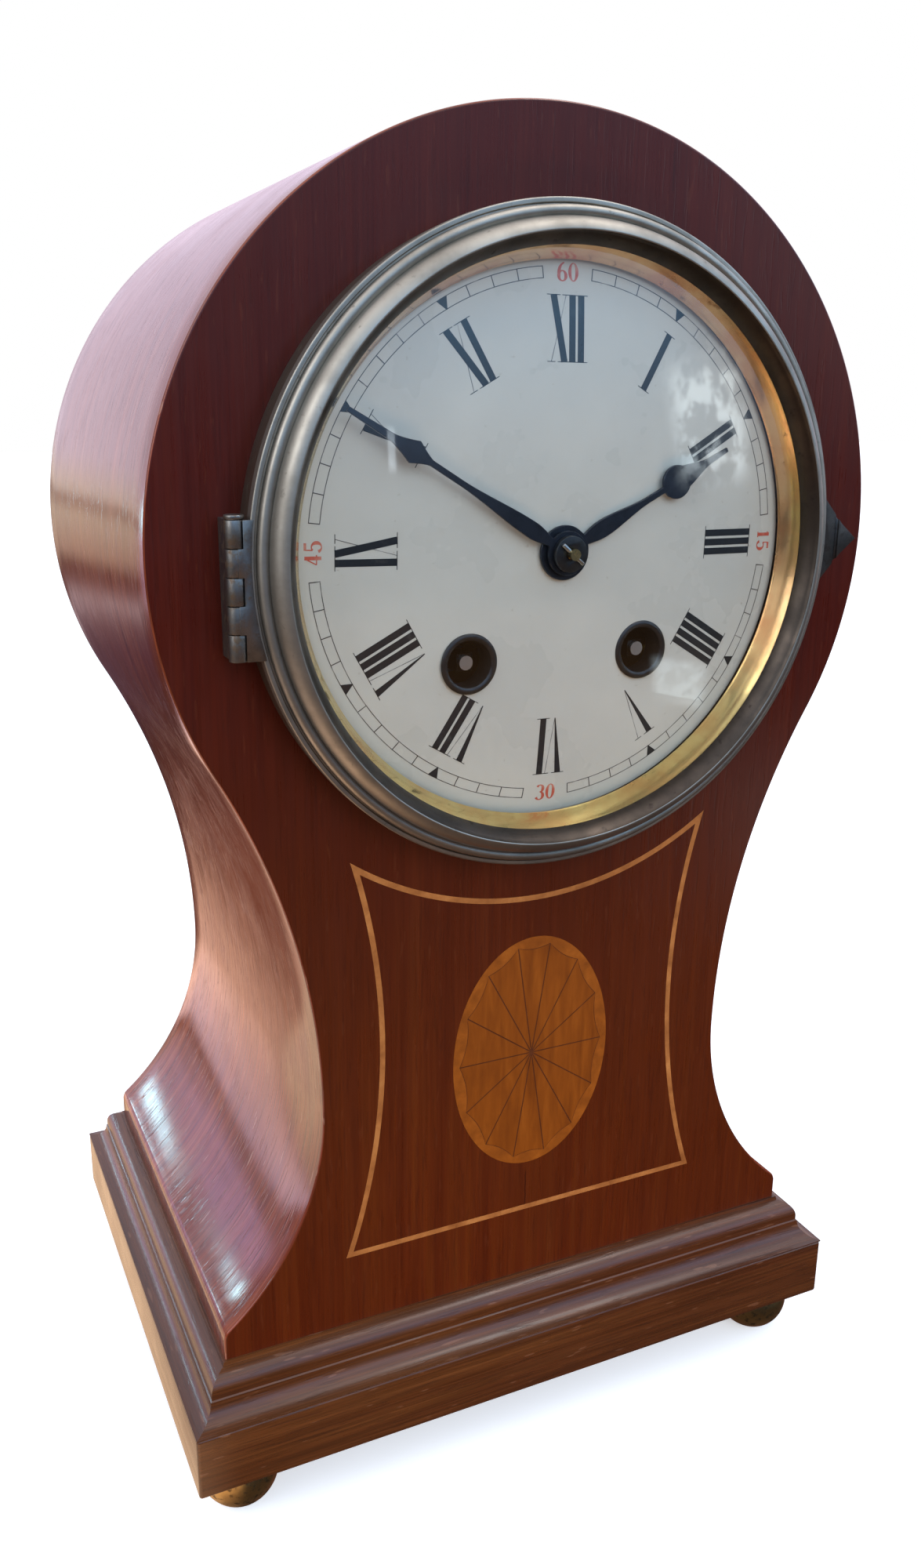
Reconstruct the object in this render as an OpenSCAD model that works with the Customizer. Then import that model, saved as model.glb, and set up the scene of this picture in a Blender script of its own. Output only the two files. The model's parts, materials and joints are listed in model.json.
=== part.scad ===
// Balloon clock: a waisted table clock case with a hinged bezel, a striking
// pendulum movement and a moulded base. Millimetres, +Z up, the dial faces -Y.
// The origin is on the ground, under the middle of the clock.

/* [Case] */
// Radius of the round head
head_r = 80; // [76:0.5:86]
// Height of the head's centre above the bottom of the case
head_height = 169.2; // [164:0.1:178]
// Width across the waist
waist_w = 98.5; // [94:0.1:104]
// Height of the waist above the bottom of the case
waist_height = 53.9; // [51:0.1:59]
// Radius of the hollow flare below the waist
flare_r = 61; // [58:0.1:68]
// Radius that rounds the flare into the foot
shoulder_r = 3; // [2:0.5:5]
// Width of the case at its foot
foot_w = 145; // [141:0.5:149]
// Depth of the case from front to back
case_depth = 108; // [102:0.5:125]
// Thickness of the side wall
side_t = 9; // [6:0.5:11]
// Thickness of the front panel
front_t = 9; // [7:0.5:11]
// Thickness of the back panel
back_t = 8; // [5:0.5:10]

/* [Base] */
// How far the base stands out past the case, all round
base_out = 9; // [8.4:0.1:11]
// Height of the base moulding
moulding_h = 10.4; // [9.6:0.1:12]
// Radius of the round upper member of the moulding
ovolo_r = 3.6; // [2.8:0.1:3.8]
// Height of the flat between the round and the hollow
fillet_h = 1.2; // [0.6:0.1:1.4]
// Radius of the hollow lower member of the moulding
cove_r = 4.7; // [3.6:0.1:4.8]
// Height of the plinth
plinth_h = 14.9; // [12:0.1:18]
// Height of a bun foot
bun_h = 13; // [11:0.1:15]
// Radius of a bun foot's round
bun_r = 9; // [8.5:0.1:10]
// Radius of the flat that a bun foot stands on
bun_flat_r = 3; // [2:0.1:4]
// Distance of a foot's centre in from the edges of the plinth
bun_inset = 11.5; // [11:0.5:18]
// Radius of a foot's stud
stud_r = 2; // [1.5:0.1:3]
// Length of a foot's stud
stud_len = 9; // [6:0.5:11]

/* [Inlay] */
// Depth of the inlay
inlay_t = 1; // [0.6:0.1:1.6]
// Width of the stringing
string_w = 1.2; // [0.8:0.1:2]
// Radius of the stringing's upper arc, round the dial's centre
string_top_r = 73.6; // [70:0.2:76]
// Half width of the stringing at its narrowest
string_waist = 36.4; // [32:0.2:39]
// Height of that narrowest place above the bottom of the case
string_waist_height = 66; // [58:0.5:72]
// Radius of the stringing's side arcs
string_side_r = 150; // [135:1:170]
// Height of the lower stringing above the bottom of the case
string_bottom = 16.9; // [13:0.1:20]
// Height of the fan medallion's centre above the bottom of the case
fan_height = 57.2; // [54:0.1:60]
// Half width of the fan medallion
fan_half_w = 19.3; // [17:0.1:21]
// Half height of the fan medallion
fan_half_h = 27.9; // [25:0.1:29]
// Number of blades in the fan
fan_blades = 14; // [8:1:20]
// Width of the medallion's border at the tips of the blades
fan_border_w = 1.5; // [1:0.1:3]
// How far each blade's end is hollowed
fan_hollow = 1.3; // [0.5:0.1:2]

/* [Bezel] */
// Height of the dial's centre above the bottom of the case
dial_height = 168.5; // [167:0.1:171]
// Outer radius of the bezel
bezel_r = 63.2; // [62.8:0.1:64]
// Radius of the opening that shows the dial
sight_r = 55.2; // [54.8:0.1:55.6]
// How far the bezel's crest stands in front of the wood
lip_out = 15.6; // [14:0.1:17]
// Outer radius of the fixed ring
ring_r = 64.9; // [64.4:0.1:66]
// Thickness of the fixed ring's flange
ring_t = 5.6; // [5:0.1:6.2]
// Inner radius of the fixed ring
ring_bore_r = 54.6; // [54.2:0.1:54.8]
// Wall of the fixed ring's spigot
spigot_wall = 2.4; // [1.6:0.1:3]
// Length of the fixed ring's spigot
spigot_len = 12; // [8:0.5:13]
// How far the glass's edge stands in front of the wood
glass_out = 10.6; // [10:0.1:11.5]
// Thickness of the glass
glass_t = 1.8; // [1.4:0.1:2.2]
// Rise of the glass at its middle
glass_rise = 7; // [5:0.1:9]
// Length of the bezel's hinge
hinge_len = 25; // [20:0.5:30]
// Radius of a hinge knuckle
knuckle_r = 1.8; // [1.6:0.1:2]
// Radius of the hinge pin
hinge_pin_r = 0.8; // [0.6:0.05:1]
// Height of the hinge's middle above the dial's centre
hinge_rise = -4; // [-8:0.5:8]
// How far the thumb tab stands out past the bezel
tab_out = 8.8; // [5:0.1:11]
// Width of the thumb tab where it meets the bezel
tab_w = 20; // [14:0.5:26]

/* [Dial] */
// Radius of the enamel dial
dial_r = 53.9; // [53:0.1:54.1]
// Thickness of the enamel dial
dial_t = 1.1; // [0.8:0.1:1.4]
// Rise of the dial at its middle
dial_rise = 3; // [1.5:0.1:4]
// How far the dial's edge stands in front of the wood
dial_edge_out = 3.4; // [3:0.1:3.6]
// Thickness of the brass pan behind the dial
pan_t = 1.4; // [1:0.1:2]
// Distance of the winding squares to either side of the dial's centre
winding_x = 19.5; // [19.4:0.05:20]
// Distance of the winding squares below the dial's centre
winding_drop = 20.7; // [20:0.1:21.2]
// Radius of a winding hole
winding_hole_r = 4.6; // [4:0.1:5]
// Outer radius of a winding collet
collet_r = 6; // [5.6:0.1:7]
// Radius of the dial's centre hole
centre_hole_r = 3.6; // [3.2:0.1:4]

/* [Hands] */
// Length of the minute hand
minute_len = 50.8; // [46:0.1:52]
// Length of the hour hand
hour_len = 41; // [36:0.1:44]
// Thickness of a hand
hand_t = 0.6; // [0.4:0.05:0.9]
// Clock angle of the minute hand, in degrees after twelve
minute_angle = 300.5; // [0:0.5:360]
// Clock angle of the hour hand, in degrees after twelve
hour_angle = 63; // [0:0.5:360]

/* [Movement] */
// Radius of the movement's plates
plate_r = 48.6; // [48.3:0.1:50]
// Thickness of a plate
plate_t = 2; // [1.6:0.1:2.6]
// Distance of the front plate behind the wood's face
plate_depth = 14; // [13.6:0.1:15]
// Distance between the plates
plate_gap = 36; // [35.6:0.1:38]
// Radius of a pillar
pillar_r = 2.8; // [2.2:0.1:3.2]
// Radius of a pivot
pivot_r = 0.7; // [0.5:0.05:0.8]
// Radius of an arbor
arbor_r = 1.1; // [0.9:0.05:1.3]
// Radius of a barrel's drum
drum_r = 15.4; // [14:0.1:16]
// Length of a barrel's drum
drum_len = 24; // [22:0.5:25]
// Wall of a barrel
drum_wall = 1.2; // [0.8:0.1:1.6]
// Turns of a mainspring
spring_turns = 6; // [4:1:8]
// Thickness of a mainspring
spring_t = 0.45; // [0.3:0.05:0.6]
// Side of a winding square
square_w = 3.4; // [3:0.1:3.8]
// Distance of a winding square's tip behind the dial's face
square_sunk = 1.2; // [0.8:0.1:3]
// Tooth module of the barrels
barrel_module = 0.5; // [0.49:0.005:0.505]
// Tooth module of the intermediate wheels
second_module = 0.4; // [0.39:0.005:0.41]
// Tooth module of the centre wheel
centre_module = 0.38; // [0.36:0.005:0.39]
// Tooth module of the third wheel
third_module = 0.35; // [0.33:0.005:0.36]
// Distance between the centre and minute wheels of the motion work
motion_distance = 12; // [11:0.1:13]
// Distance of the escape wheel above the dial's centre
escape_height = 22; // [21:0.1:23]
// Radius of the escape wheel
escape_r = 8; // [7.5:0.1:8.4]
// Distance of the anchor's arbor above the escape wheel
anchor_rise = 11.3; // [10.8:0.1:12]

/* [Pendulum and bell] */
// Length of the pendulum from its bend to the middle of the bob
pendulum_len = 85; // [82:0.5:92]
// Radius of the bob
bob_r = 12; // [10:0.5:14]
// Thickness of the bob
bob_t = 7; // [5:0.5:8]
// Distance of the pendulum behind the back plate
pendulum_back = 7; // [6.6:0.1:8]
// Radius of the bell's mouth
bell_r = 30; // [26:0.5:31]
// Height of the bell
bell_h = 20; // [16:0.5:22]
// Thickness of the bell
bell_t = 1.6; // [1.2:0.1:2.4]
// Distance of the bell to the right of the dial's centre
bell_x = 10; // [9:0.5:11]
// Distance of the bell below the dial's centre
bell_drop = 8; // [6:0.5:9]

/* [Back door] */
// Radius of the back aperture
back_hole_r = 51; // [50:0.5:53]
// Radius of the back door
door_r = 55.5; // [54.5:0.1:57]
// Thickness of the door's sheet
door_t = 1.2; // [0.8:0.1:1.6]
// Rise of the door's dish
door_dish = 2.2; // [2:0.1:4]
// Thickness of the back ring
back_ring_t = 1.5; // [1.2:0.1:2]
// Depth of the back ring's spigot in the back panel
back_spigot = 4; // [2.5:0.1:5]
// Wall of the back ring's spigot
back_spigot_wall = 1.6; // [1.2:0.1:2]

/* [Fits] */
// Clearance round a seated piece
seat_gap = 0.15; // [0.1:0.05:0.25]
// Clearance round a turning pivot or pin
run_gap = 0.06; // [0.04:0.01:0.1]
// End play of an arbor between the plates
shake = 0.1; // [0.05:0.05:0.2]
// Clearance between pieces that pass each other
pass_gap = 0.3; // [0.2:0.05:0.4]
// Clearance between faces that are clamped together
face_gap = 0.05; // [0.03:0.01:0.1]
// Clearance round the inlay
inlay_gap = 0.05; // [0.03:0.01:0.1]

/* [Hidden] */
$fn = 96;
// Lap that carries one arc a hair past the next where they run together
lap = 0.01;
cut = 1;

// Heights and depths of the main pieces
plinth_z = bun_h;
moulding_z = plinth_z + plinth_h;
case_z = moulding_z + moulding_h;
dial_z = case_z + dial_height;
back_reach = case_depth + back_ring_t + pass_gap + door_t + door_dish;
front_reach = glass_out - face_gap + glass_rise;
face_y = (front_reach - max(back_reach, case_depth + base_out)) / 2;
base_w = foot_w + 2 * base_out;

// Case outline: the upper waist arc touches the head, the shoulder touches the flare
waist_half = waist_w / 2;
waist_drop = head_height - waist_height;
waist_r = (pow(waist_half, 2) + pow(waist_drop, 2) - pow(head_r, 2)) / (2 * (head_r - waist_half));
flare_x = waist_half + flare_r;
shoulder_x = foot_w / 2 - shoulder_r;
shoulder_z = waist_height - sqrt(pow(flare_r + shoulder_r, 2) - pow(flare_x - shoulder_x, 2));

// Bezel and dial
aperture_r = ring_bore_r + spigot_wall + seat_gap;
bezel_back = ring_t + pass_gap * 2 / 3;
bezel_edge_r = 0.8;
bezel_edge_out = bezel_back + 2 * bezel_edge_r;
bezel_bead_r = 0.9;
bezel_bead_x = bezel_r - 2 * bezel_edge_r - bezel_bead_r - 0.3;
glass_edge_r = sight_r + 1.1;
glass_ball_r = (pow(sight_r, 2) + pow(glass_rise, 2)) / (2 * glass_rise);
glass_ball_out = front_reach - glass_ball_r;
glass_back = glass_ball_out + sqrt(pow(glass_ball_r - glass_t, 2) - pow(glass_edge_r, 2));
dial_ball_r = (pow(dial_r, 2) + pow(dial_rise, 2)) / (2 * dial_rise);
pan_front = dial_edge_out - dial_t - 2 * face_gap;
pan_back = pan_front - pan_t;
collet_wall = 0.5;
dial_foot_r = 2;
hinge_x = -(bezel_r + knuckle_r + pass_gap);
hinge_out = bezel_back + 0.4;
knuckle_count = 5;
knuckle_len = hinge_len / knuckle_count;
knuckle_gap = 0.1;
leaf_reach = hinge_len / 4;

// Hand stack, in front of the wood
pipe_r = 2.5;
cannon_r = 1.8;
hour_out = dial_edge_out + dial_rise + 0.5;
minute_out = hour_out + hand_t + 0.6;
collet_out = minute_out + hand_t + face_gap;
collet_h = 1.4;
cross_pin_r = 0.4;
cross_pin_out = collet_out + collet_h + cross_pin_r + face_gap;
arbor_out = cross_pin_out + 1;

// Depths behind the wood's face
back_plate_depth = plate_depth + plate_t + plate_gap;
movement_back = back_plate_depth + plate_t;
drum_depth = plate_depth + plate_t + 3;
great_depth = drum_depth + drum_len;
great_t = 2.4;
second_depth = back_plate_depth - 4;
wheel_t = 1.4;
pinion_past = 0.6;
escape_t = 1;
arm_t = 1.4;
arm_depth = movement_back + 1.2;
centre_depth = plate_depth + plate_t + 8;
third_depth = centre_depth + 10;
escape_depth = third_depth + 8;
ratchet_depth = plate_depth - 2.4;
ratchet_t = 1.6;
pendulum_depth = movement_back + pendulum_back;
pendulum_r = 1.1;
bell_depth = pendulum_depth + 6.5;

// Tooth counts and the places of the arbors
barrel_teeth = 76;
second_pinion = 12;
second_teeth = 60;
centre_pinion = 10;
centre_teeth = 60;
third_pinion = 8;
third_teeth = 56;
escape_pinion = 8;
escape_teeth = 30;
strike_teeth = 54;
pin_pinion = 8;
pin_teeth = 48;
fly_pinion = 8;
cannon_teeth = 12;
minute_teeth = 36;
minute_pinion = 10;
hour_teeth = 40;
pin_module = third_module;
cannon_module = 2 * motion_distance / (cannon_teeth + minute_teeth);
hour_module = 2 * motion_distance / (minute_pinion + hour_teeth);
barrel_distance = barrel_module * (barrel_teeth + second_pinion) / 2;
second_distance = second_module * (second_teeth + centre_pinion) / 2;
third_distance = centre_module * (centre_teeth + third_pinion) / 2;
escape_distance = third_module * (third_teeth + escape_pinion) / 2;
pin_distance = second_module * (strike_teeth + pin_pinion) / 2;
fly_distance = pin_module * (pin_teeth + fly_pinion) / 2;
middle = [0, 0];
going_at = [winding_x, -winding_drop];
strike_at = [-winding_x, -winding_drop];
second_at = meet(going_at, middle, barrel_distance, second_distance, -1);
strike_second_at = meet(strike_at, middle, barrel_distance, second_distance, 1);
escape_at = [0, escape_height];
third_at = meet(middle, escape_at, third_distance, escape_distance, -1);
anchor_at = [0, escape_height + anchor_rise];
pin_at = strike_second_at + pin_distance * turn(100);
fly_at = pin_at + fly_distance * turn(70);
hammer_at = [-33, 10];
minute_at = [0, motion_distance];
bell_at = [bell_x, -bell_drop];
click_reach = 11;
click_stud_r = 1;
pillar_ring = plate_r - pillar_r - 0.8;
pillar_angles = [10, 65, 115, 170, 270];
foot_ring = plate_r - 4;
foot_angles = [30, 150, 215, 325];

// Tooth phases, each follower set from the wheel that it meshes with
second_phase = mesh(barrel_teeth, second_pinion, 0, bearing(going_at, second_at));
centre_phase = mesh(second_teeth, centre_pinion, 0, bearing(second_at, middle));
third_phase = mesh(centre_teeth, third_pinion, 0, bearing(middle, third_at));
escape_phase = mesh(third_teeth, escape_pinion, 0, bearing(third_at, escape_at));
strike_second_phase = mesh(barrel_teeth, second_pinion, 0, bearing(strike_at, strike_second_at));
pin_phase = mesh(strike_teeth, pin_pinion, 0, bearing(strike_second_at, pin_at));
fly_phase = mesh(pin_teeth, fly_pinion, 0, bearing(pin_at, fly_at));
minute_phase = mesh(cannon_teeth, minute_teeth, 0, 90);
hour_phase = mesh(minute_pinion, hour_teeth, 0, -90);

function turn(a) = [cos(a), sin(a)];

function bearing(from, to) = atan2(to.y - from.y, to.x - from.x);

// Point at distance ra from a and rb from b, to one side of the line between them
function meet(a, b, ra, rb, side) =
    let (d = norm(b - a), u = (b - a) / d)
    let (s = (ra * ra - rb * rb + d * d) / (2 * d), h = sqrt(ra * ra - s * s))
    a + s * u + side * h * [-u.y, u.x];

// Phase of a wheel of nb teeth whose gap faces a tooth of the wheel that it meshes with
function mesh(na, nb, phase_a, way) = way + 180 - (360 / nb) * ((phase_a - way) * na / 360 + 0.5);

// Points along an arc
function arc_points(at, r, from, to, steps) =
    [for (i = [0 : steps]) at + r * turn(from + (to - from) * i / steps)];

// Tooth outline as radius in modules from the pitch line and half width as a share of the pitch
wheel_tooth = [[-1.15, 0.26], [0, 0.205], [0.85, 0.085]];
pinion_tooth = [[-1.25, 0.165], [0, 0.175], [0.6, 0.085]];

function tooth_points(n, m, tooth, phase) =
    [for (i = [0 : n - 1])
        for (side = [-1, 1])
            for (k = side < 0 ? [0 : 1 : 2] : [2 : -1 : 0])
                (n * m / 2 + tooth[k][0] * m) * turn(phase + (i + side * tooth[k][1]) * 360 / n)];

// Height of the dial's face in front of the wood at a radius
function dial_face(r) = dial_edge_out + sqrt(pow(dial_ball_r, 2) - r * r) - (dial_ball_r - dial_rise);

// Frame on the wood's face at the bottom of the case: x right, y up, z towards the viewer
module case_frame() {
    translate([0, face_y, case_z]) rotate([90, 0, 0]) children();
}

// Frame on the wood's face at the dial's centre
module dial_frame() {
    translate([0, face_y, dial_z]) rotate([90, 0, 0]) children();
}

// Flat shape between two depths behind the face
module slab(front, back) {
    translate([0, 0, -back]) linear_extrude(back - front) children();
}

module rod(at, r, front, back) {
    translate([at.x, at.y, -back]) cylinder(r = r, h = back - front);
}

module wheel_2d(n, m, at, phase) {
    translate(at) polygon(tooth_points(n, m, wheel_tooth, phase));
}

module pinion_2d(n, m, at, phase) {
    translate(at) polygon(tooth_points(n, m, pinion_tooth, phase));
}

// Wheel with spokes: rim, hub and crossings cut by round-cornered windows
module crossed_wheel_2d(n, m, at, phase) {
    spokes = 4;
    rim_r = n * m / 2 + wheel_tooth[0][0] * m - 1;
    hub_r = 3;
    spoke_half = 0.8;
    past = rim_r + cut;
    difference() {
        wheel_2d(n, m, at, phase);
        translate(at)
            for (i = [0 : spokes - 1])
                rotate(phase + i * 360 / spokes)
                    intersection() {
                        difference() {
                            circle(rim_r);
                            circle(hub_r);
                        }
                        polygon([
                            [spoke_half, spoke_half], [past, spoke_half], [past, past], [spoke_half, past]
                        ]);
                    }
    }
}

// Arbor with a pivot at each end, seated between the plates
module arbor(at) {
    rod(at, arbor_r, plate_depth + plate_t + shake, back_plate_depth - shake);
    rod(at, pivot_r, plate_depth, movement_back);
}

module half_disc(r, up) {
    difference() {
        circle(r);
        translate([-r - cut, up ? -r - cut : 0]) square([2 * (r + cut), r + cut]);
    }
}

// Hollows at the waist, let in by a wall's thickness
module waist_hollows(inset) {
    for (side = [-1, 1]) {
        translate([side * (waist_half + waist_r), waist_height]) half_disc(waist_r + inset + lap, true);
        translate([side * flare_x, waist_height]) half_disc(flare_r + inset + lap, false);
    }
}

module outline_2d() {
    difference() {
        union() {
            translate([0, head_height]) circle(head_r);
            polygon([
                [-foot_w / 2, 0], [foot_w / 2, 0], [foot_w / 2, shoulder_z], [shoulder_x, shoulder_z],
                [flare_x, waist_height], [waist_half + waist_r, waist_height], [0, head_height],
                [-waist_half - waist_r, waist_height], [-flare_x, waist_height],
                [-shoulder_x, shoulder_z], [-foot_w / 2, shoulder_z]
            ]);
            for (side = [-1, 1])
                translate([side * shoulder_x, shoulder_z]) circle(shoulder_r + lap);
        }
        waist_hollows(0);
    }
}

module inner_outline_2d() {
    inner_foot = foot_w / 2 - side_t;
    difference() {
        union() {
            translate([0, head_height]) circle(head_r - side_t);
            polygon([
                [-inner_foot, -cut], [inner_foot, -cut], [inner_foot, waist_height],
                [waist_half + waist_r, waist_height], [0, head_height],
                [-waist_half - waist_r, waist_height], [-inner_foot, waist_height]
            ]);
        }
        waist_hollows(side_t);
    }
}

// Field inside the stringing, drawn in by an amount
module string_field_2d(inset) {
    field_h = dial_height - string_top_r / 2 - string_bottom;
    difference() {
        translate([-string_top_r, string_bottom + inset]) square([2 * string_top_r, field_h]);
        translate([0, dial_height]) circle(string_top_r + inset);
        for (side = [-1, 1])
            translate([side * (string_waist + string_side_r), string_waist_height])
                circle(string_side_r + inset);
    }
}

function fan_edge(a, inset) = [(fan_half_w - inset) * cos(a), (fan_half_h - inset) * sin(a)];

// Distance in from the medallion's edge along one blade's end, deepest at mid blade
function fan_scallop(t) = fan_border_w + fan_hollow * (1 - pow(2 * t - 1, 2));

fan_steps = 6;

module fan_oval_2d(inset) {
    polygon([for (i = [0 : fan_blades * fan_steps - 1]) fan_edge(i * 360 / (fan_blades * fan_steps), inset)]);
}

module fan_field_2d(inset) {
    polygon([for (i = [0 : fan_blades - 1])
        for (s = [0 : fan_steps - 1])
            fan_edge((i + s / fan_steps) * 360 / fan_blades, fan_scallop(s / fan_steps) + inset)]);
}

module front_panel() {
    color([0.30, 0.10, 0.06]) case_frame() difference() {
        slab(0, front_t) outline_2d();
        slab(-cut, front_t + cut) translate([0, dial_height]) circle(aperture_r);
        slab(-cut, inlay_t) difference() {
            string_field_2d(-inlay_gap);
            string_field_2d(string_w + inlay_gap);
        }
        slab(-cut, inlay_t) translate([0, fan_height]) fan_oval_2d(-inlay_gap);
    }
}

module side_shell() {
    color([0.38, 0.14, 0.08]) case_frame() slab(front_t, case_depth - back_t) difference() {
        outline_2d();
        inner_outline_2d();
    }
}

module back_panel() {
    color([0.33, 0.15, 0.09]) case_frame() difference() {
        slab(case_depth - back_t, case_depth) outline_2d();
        slab(case_depth - back_t - cut, case_depth + cut) translate([0, dial_height]) circle(back_hole_r);
    }
}

module base_board() {
    color([0.30, 0.13, 0.08])
        translate([-foot_w / 2, face_y, moulding_z]) cube([foot_w, case_depth, moulding_h]);
}

// Moulding section: distance out from the case, height above the plinth
module moulding_2d() {
    step = base_out - cove_r;
    round_z = cove_r + fillet_h;
    difference() {
        union() {
            square([step - ovolo_r, moulding_h]);
            square([step, round_z]);
            square([base_out, cove_r]);
            translate([step - ovolo_r, round_z]) intersection() {
                circle(ovolo_r);
                square(ovolo_r + cut);
            }
            translate([0, round_z - cut]) square([step - ovolo_r, ovolo_r + cut]);
        }
        translate([base_out, cove_r]) circle(cove_r - 0.3);
    }
}

module moulding_run() {
    half = foot_w / 2;
    intersection() {
        translate([-base_w / 2, face_y, moulding_z]) rotate([90, 0, 90]) linear_extrude(base_w)
            mirror([1, 0]) moulding_2d();
        translate([0, face_y, moulding_z - cut]) linear_extrude(moulding_h + 2 * cut)
            polygon([[-half, 0], [half, 0], [half + base_out, -base_out], [-half - base_out, -base_out]]);
    }
}

module moulding_front() {
    color([0.27, 0.11, 0.06]) moulding_run();
}

module moulding_side() {
    half = foot_w / 2;
    reach = half + base_out;
    intersection() {
        translate([half, face_y + case_depth + base_out, moulding_z]) rotate([90, 0, 0])
            linear_extrude(case_depth + 2 * base_out) moulding_2d();
        translate([0, face_y, moulding_z - cut]) linear_extrude(moulding_h + 2 * cut)
            polygon([[half, 0], [reach, -base_out], [reach, case_depth + base_out], [half, case_depth]]);
    }
}

// Both sides and the run across the back, mitred like the front
module moulding_sides() {
    color([0.29, 0.12, 0.07]) {
        moulding_side();
        mirror([1, 0, 0]) moulding_side();
        translate([0, 2 * face_y + case_depth, 0]) mirror([0, 1, 0]) moulding_run();
    }
}

module at_feet() {
    for (side = [-1, 1])
        for (y = [face_y - base_out + bun_inset, face_y + case_depth + base_out - bun_inset])
            translate([side * (base_w / 2 - bun_inset), y, 0]) children();
}

module plinth() {
    color([0.28, 0.12, 0.07]) difference() {
        translate([-base_w / 2, face_y - base_out, plinth_z])
            cube([base_w, case_depth + 2 * base_out, plinth_h]);
        at_feet() translate([0, 0, plinth_z - cut])
            cylinder(r = stud_r + seat_gap, h = stud_len + cut + pass_gap);
    }
}

module bun_feet() {
    centre_z = sqrt(pow(bun_r, 2) - pow(bun_flat_r, 2));
    color([0.72, 0.55, 0.30]) at_feet() {
        intersection() {
            translate([0, 0, centre_z]) sphere(bun_r);
            cylinder(r = bun_r + cut, h = bun_h);
        }
        translate([0, 0, bun_h - cut]) cylinder(r = stud_r, h = stud_len + cut);
    }
}

// Four strips that butt at the corners
module stringing() {
    ring = string_top_r + string_w;
    side_ring = string_side_r + string_w;
    color([0.80, 0.62, 0.34]) case_frame() slab(0, inlay_t) intersection() {
        string_field_2d(0);
        union() {
            translate([0, dial_height]) circle(ring);
            for (side = [-1, 1])
                difference() {
                    translate([side * (string_waist + string_side_r), string_waist_height]) circle(side_ring);
                    translate([0, dial_height]) circle(ring + inlay_gap);
                }
            difference() {
                translate([-ring, string_bottom]) square([2 * ring, string_w]);
                for (side = [-1, 1])
                    translate([side * (string_waist + string_side_r), string_waist_height])
                        circle(side_ring + inlay_gap);
            }
        }
    }
}

module fan_border() {
    color([0.62, 0.44, 0.26]) case_frame() slab(0, inlay_t) translate([0, fan_height]) difference() {
        fan_oval_2d(0);
        fan_field_2d(0);
    }
}

// Blades: the scalloped field parted by thin straight joints
module fan_segments() {
    joint = 0.3;
    color([0.66, 0.47, 0.28]) case_frame() slab(0, inlay_t) translate([0, fan_height]) difference() {
        fan_field_2d(joint);
        for (i = [0 : fan_blades - 1])
            let (tip = fan_edge(i * 360 / fan_blades, 0))
                rotate(atan2(tip.y, tip.x)) translate([-joint, -joint / 2]) square([fan_half_h + cut, joint]);
    }
}

// Fixed ring: a flange on the wood, stepped for the dial, a spigot in the aperture, a notch for the hinge
module bezel_base_ring() {
    spigot_r = ring_bore_r + spigot_wall;
    step_r = glass_edge_r + 1.2;
    step_out = dial_edge_out - 2 * face_gap;
    edge_slope = 0.5;
    color([0.60, 0.48, 0.30]) difference() {
        dial_frame() rotate_extrude() polygon([
            [ring_bore_r, -spigot_len], [spigot_r, -spigot_len], [spigot_r, 0], [ring_r, 0],
            [ring_r, ring_t - edge_slope], [ring_r - edge_slope, ring_t],
            [step_r, ring_t], [step_r, step_out], [ring_bore_r, step_out]
        ]);
        at_hinge() hinge_line(knuckle_r + pass_gap, hinge_pin_r + pass_gap);
    }
}

// Bezel section: an edge bead, a groove, a second bead, a steep hollow up to the crest, a flat inside it
module bezel_2d() {
    crest_r = 0.6;
    crest_in = 1.8;
    bead_rise = 2.4;
    hollow_depth = 0.6;
    rebate_r = glass_edge_r + seat_gap;
    edge_at = [bezel_r - bezel_edge_r, bezel_back + bezel_edge_r];
    bead_at = [bezel_bead_x, edge_at.y + bead_rise];
    crest_at = [sight_r + crest_in, lip_out - crest_r];
    hollow_from = crest_at + crest_r * turn(-20);
    hollow = bead_at + bezel_bead_r * turn(140) - hollow_from;
    inward = [hollow.y, -hollow.x] / norm(hollow);
    polygon(concat(
        [[rebate_r, bezel_back], [rebate_r, glass_out], [sight_r, glass_out]],
        [[sight_r, lip_out - crest_r / 2], [sight_r + crest_r / 2, lip_out - crest_r / 6]],
        arc_points(crest_at, crest_r, 90, -20, 5),
        [for (t = [0.125 : 0.125 : 0.875])
            hollow_from + t * hollow + hollow_depth * (1 - pow(2 * t - 1, 2)) * inward],
        arc_points(bead_at, bezel_bead_r, 140, -70, 9),
        [[bead_at.x + bezel_bead_r, edge_at.y + bezel_edge_r / 2]],
        arc_points(edge_at, bezel_edge_r, 150, -90, 9)
    ));
}

module bezel() {
    color([0.42, 0.37, 0.30]) dial_frame() rotate_extrude() bezel_2d();
}

// Bright inner ring that holds the glass from behind and reaches back to the dial
module sight_ring() {
    wall = 0.8;
    rim_h = 1.4;
    back = dial_edge_out + pass_gap;
    front = glass_back - face_gap;
    color([0.80, 0.62, 0.32]) dial_frame() rotate_extrude()
        polygon([
            [dial_r + pass_gap, back], [dial_r + pass_gap + wall, back],
            [glass_edge_r - wall / 2, front - rim_h], [glass_edge_r, front - rim_h],
            [glass_edge_r, front], [sight_r, front]
        ]);
}

module glass() {
    color([0.85, 0.92, 0.95, 0.35]) dial_frame() intersection() {
        cylinder(r = glass_edge_r, h = front_reach + cut);
        translate([0, 0, glass_ball_out]) difference() {
            sphere(glass_ball_r, $fn = 360);
            sphere(glass_ball_r - glass_t, $fn = 360);
        }
    }
}

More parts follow.
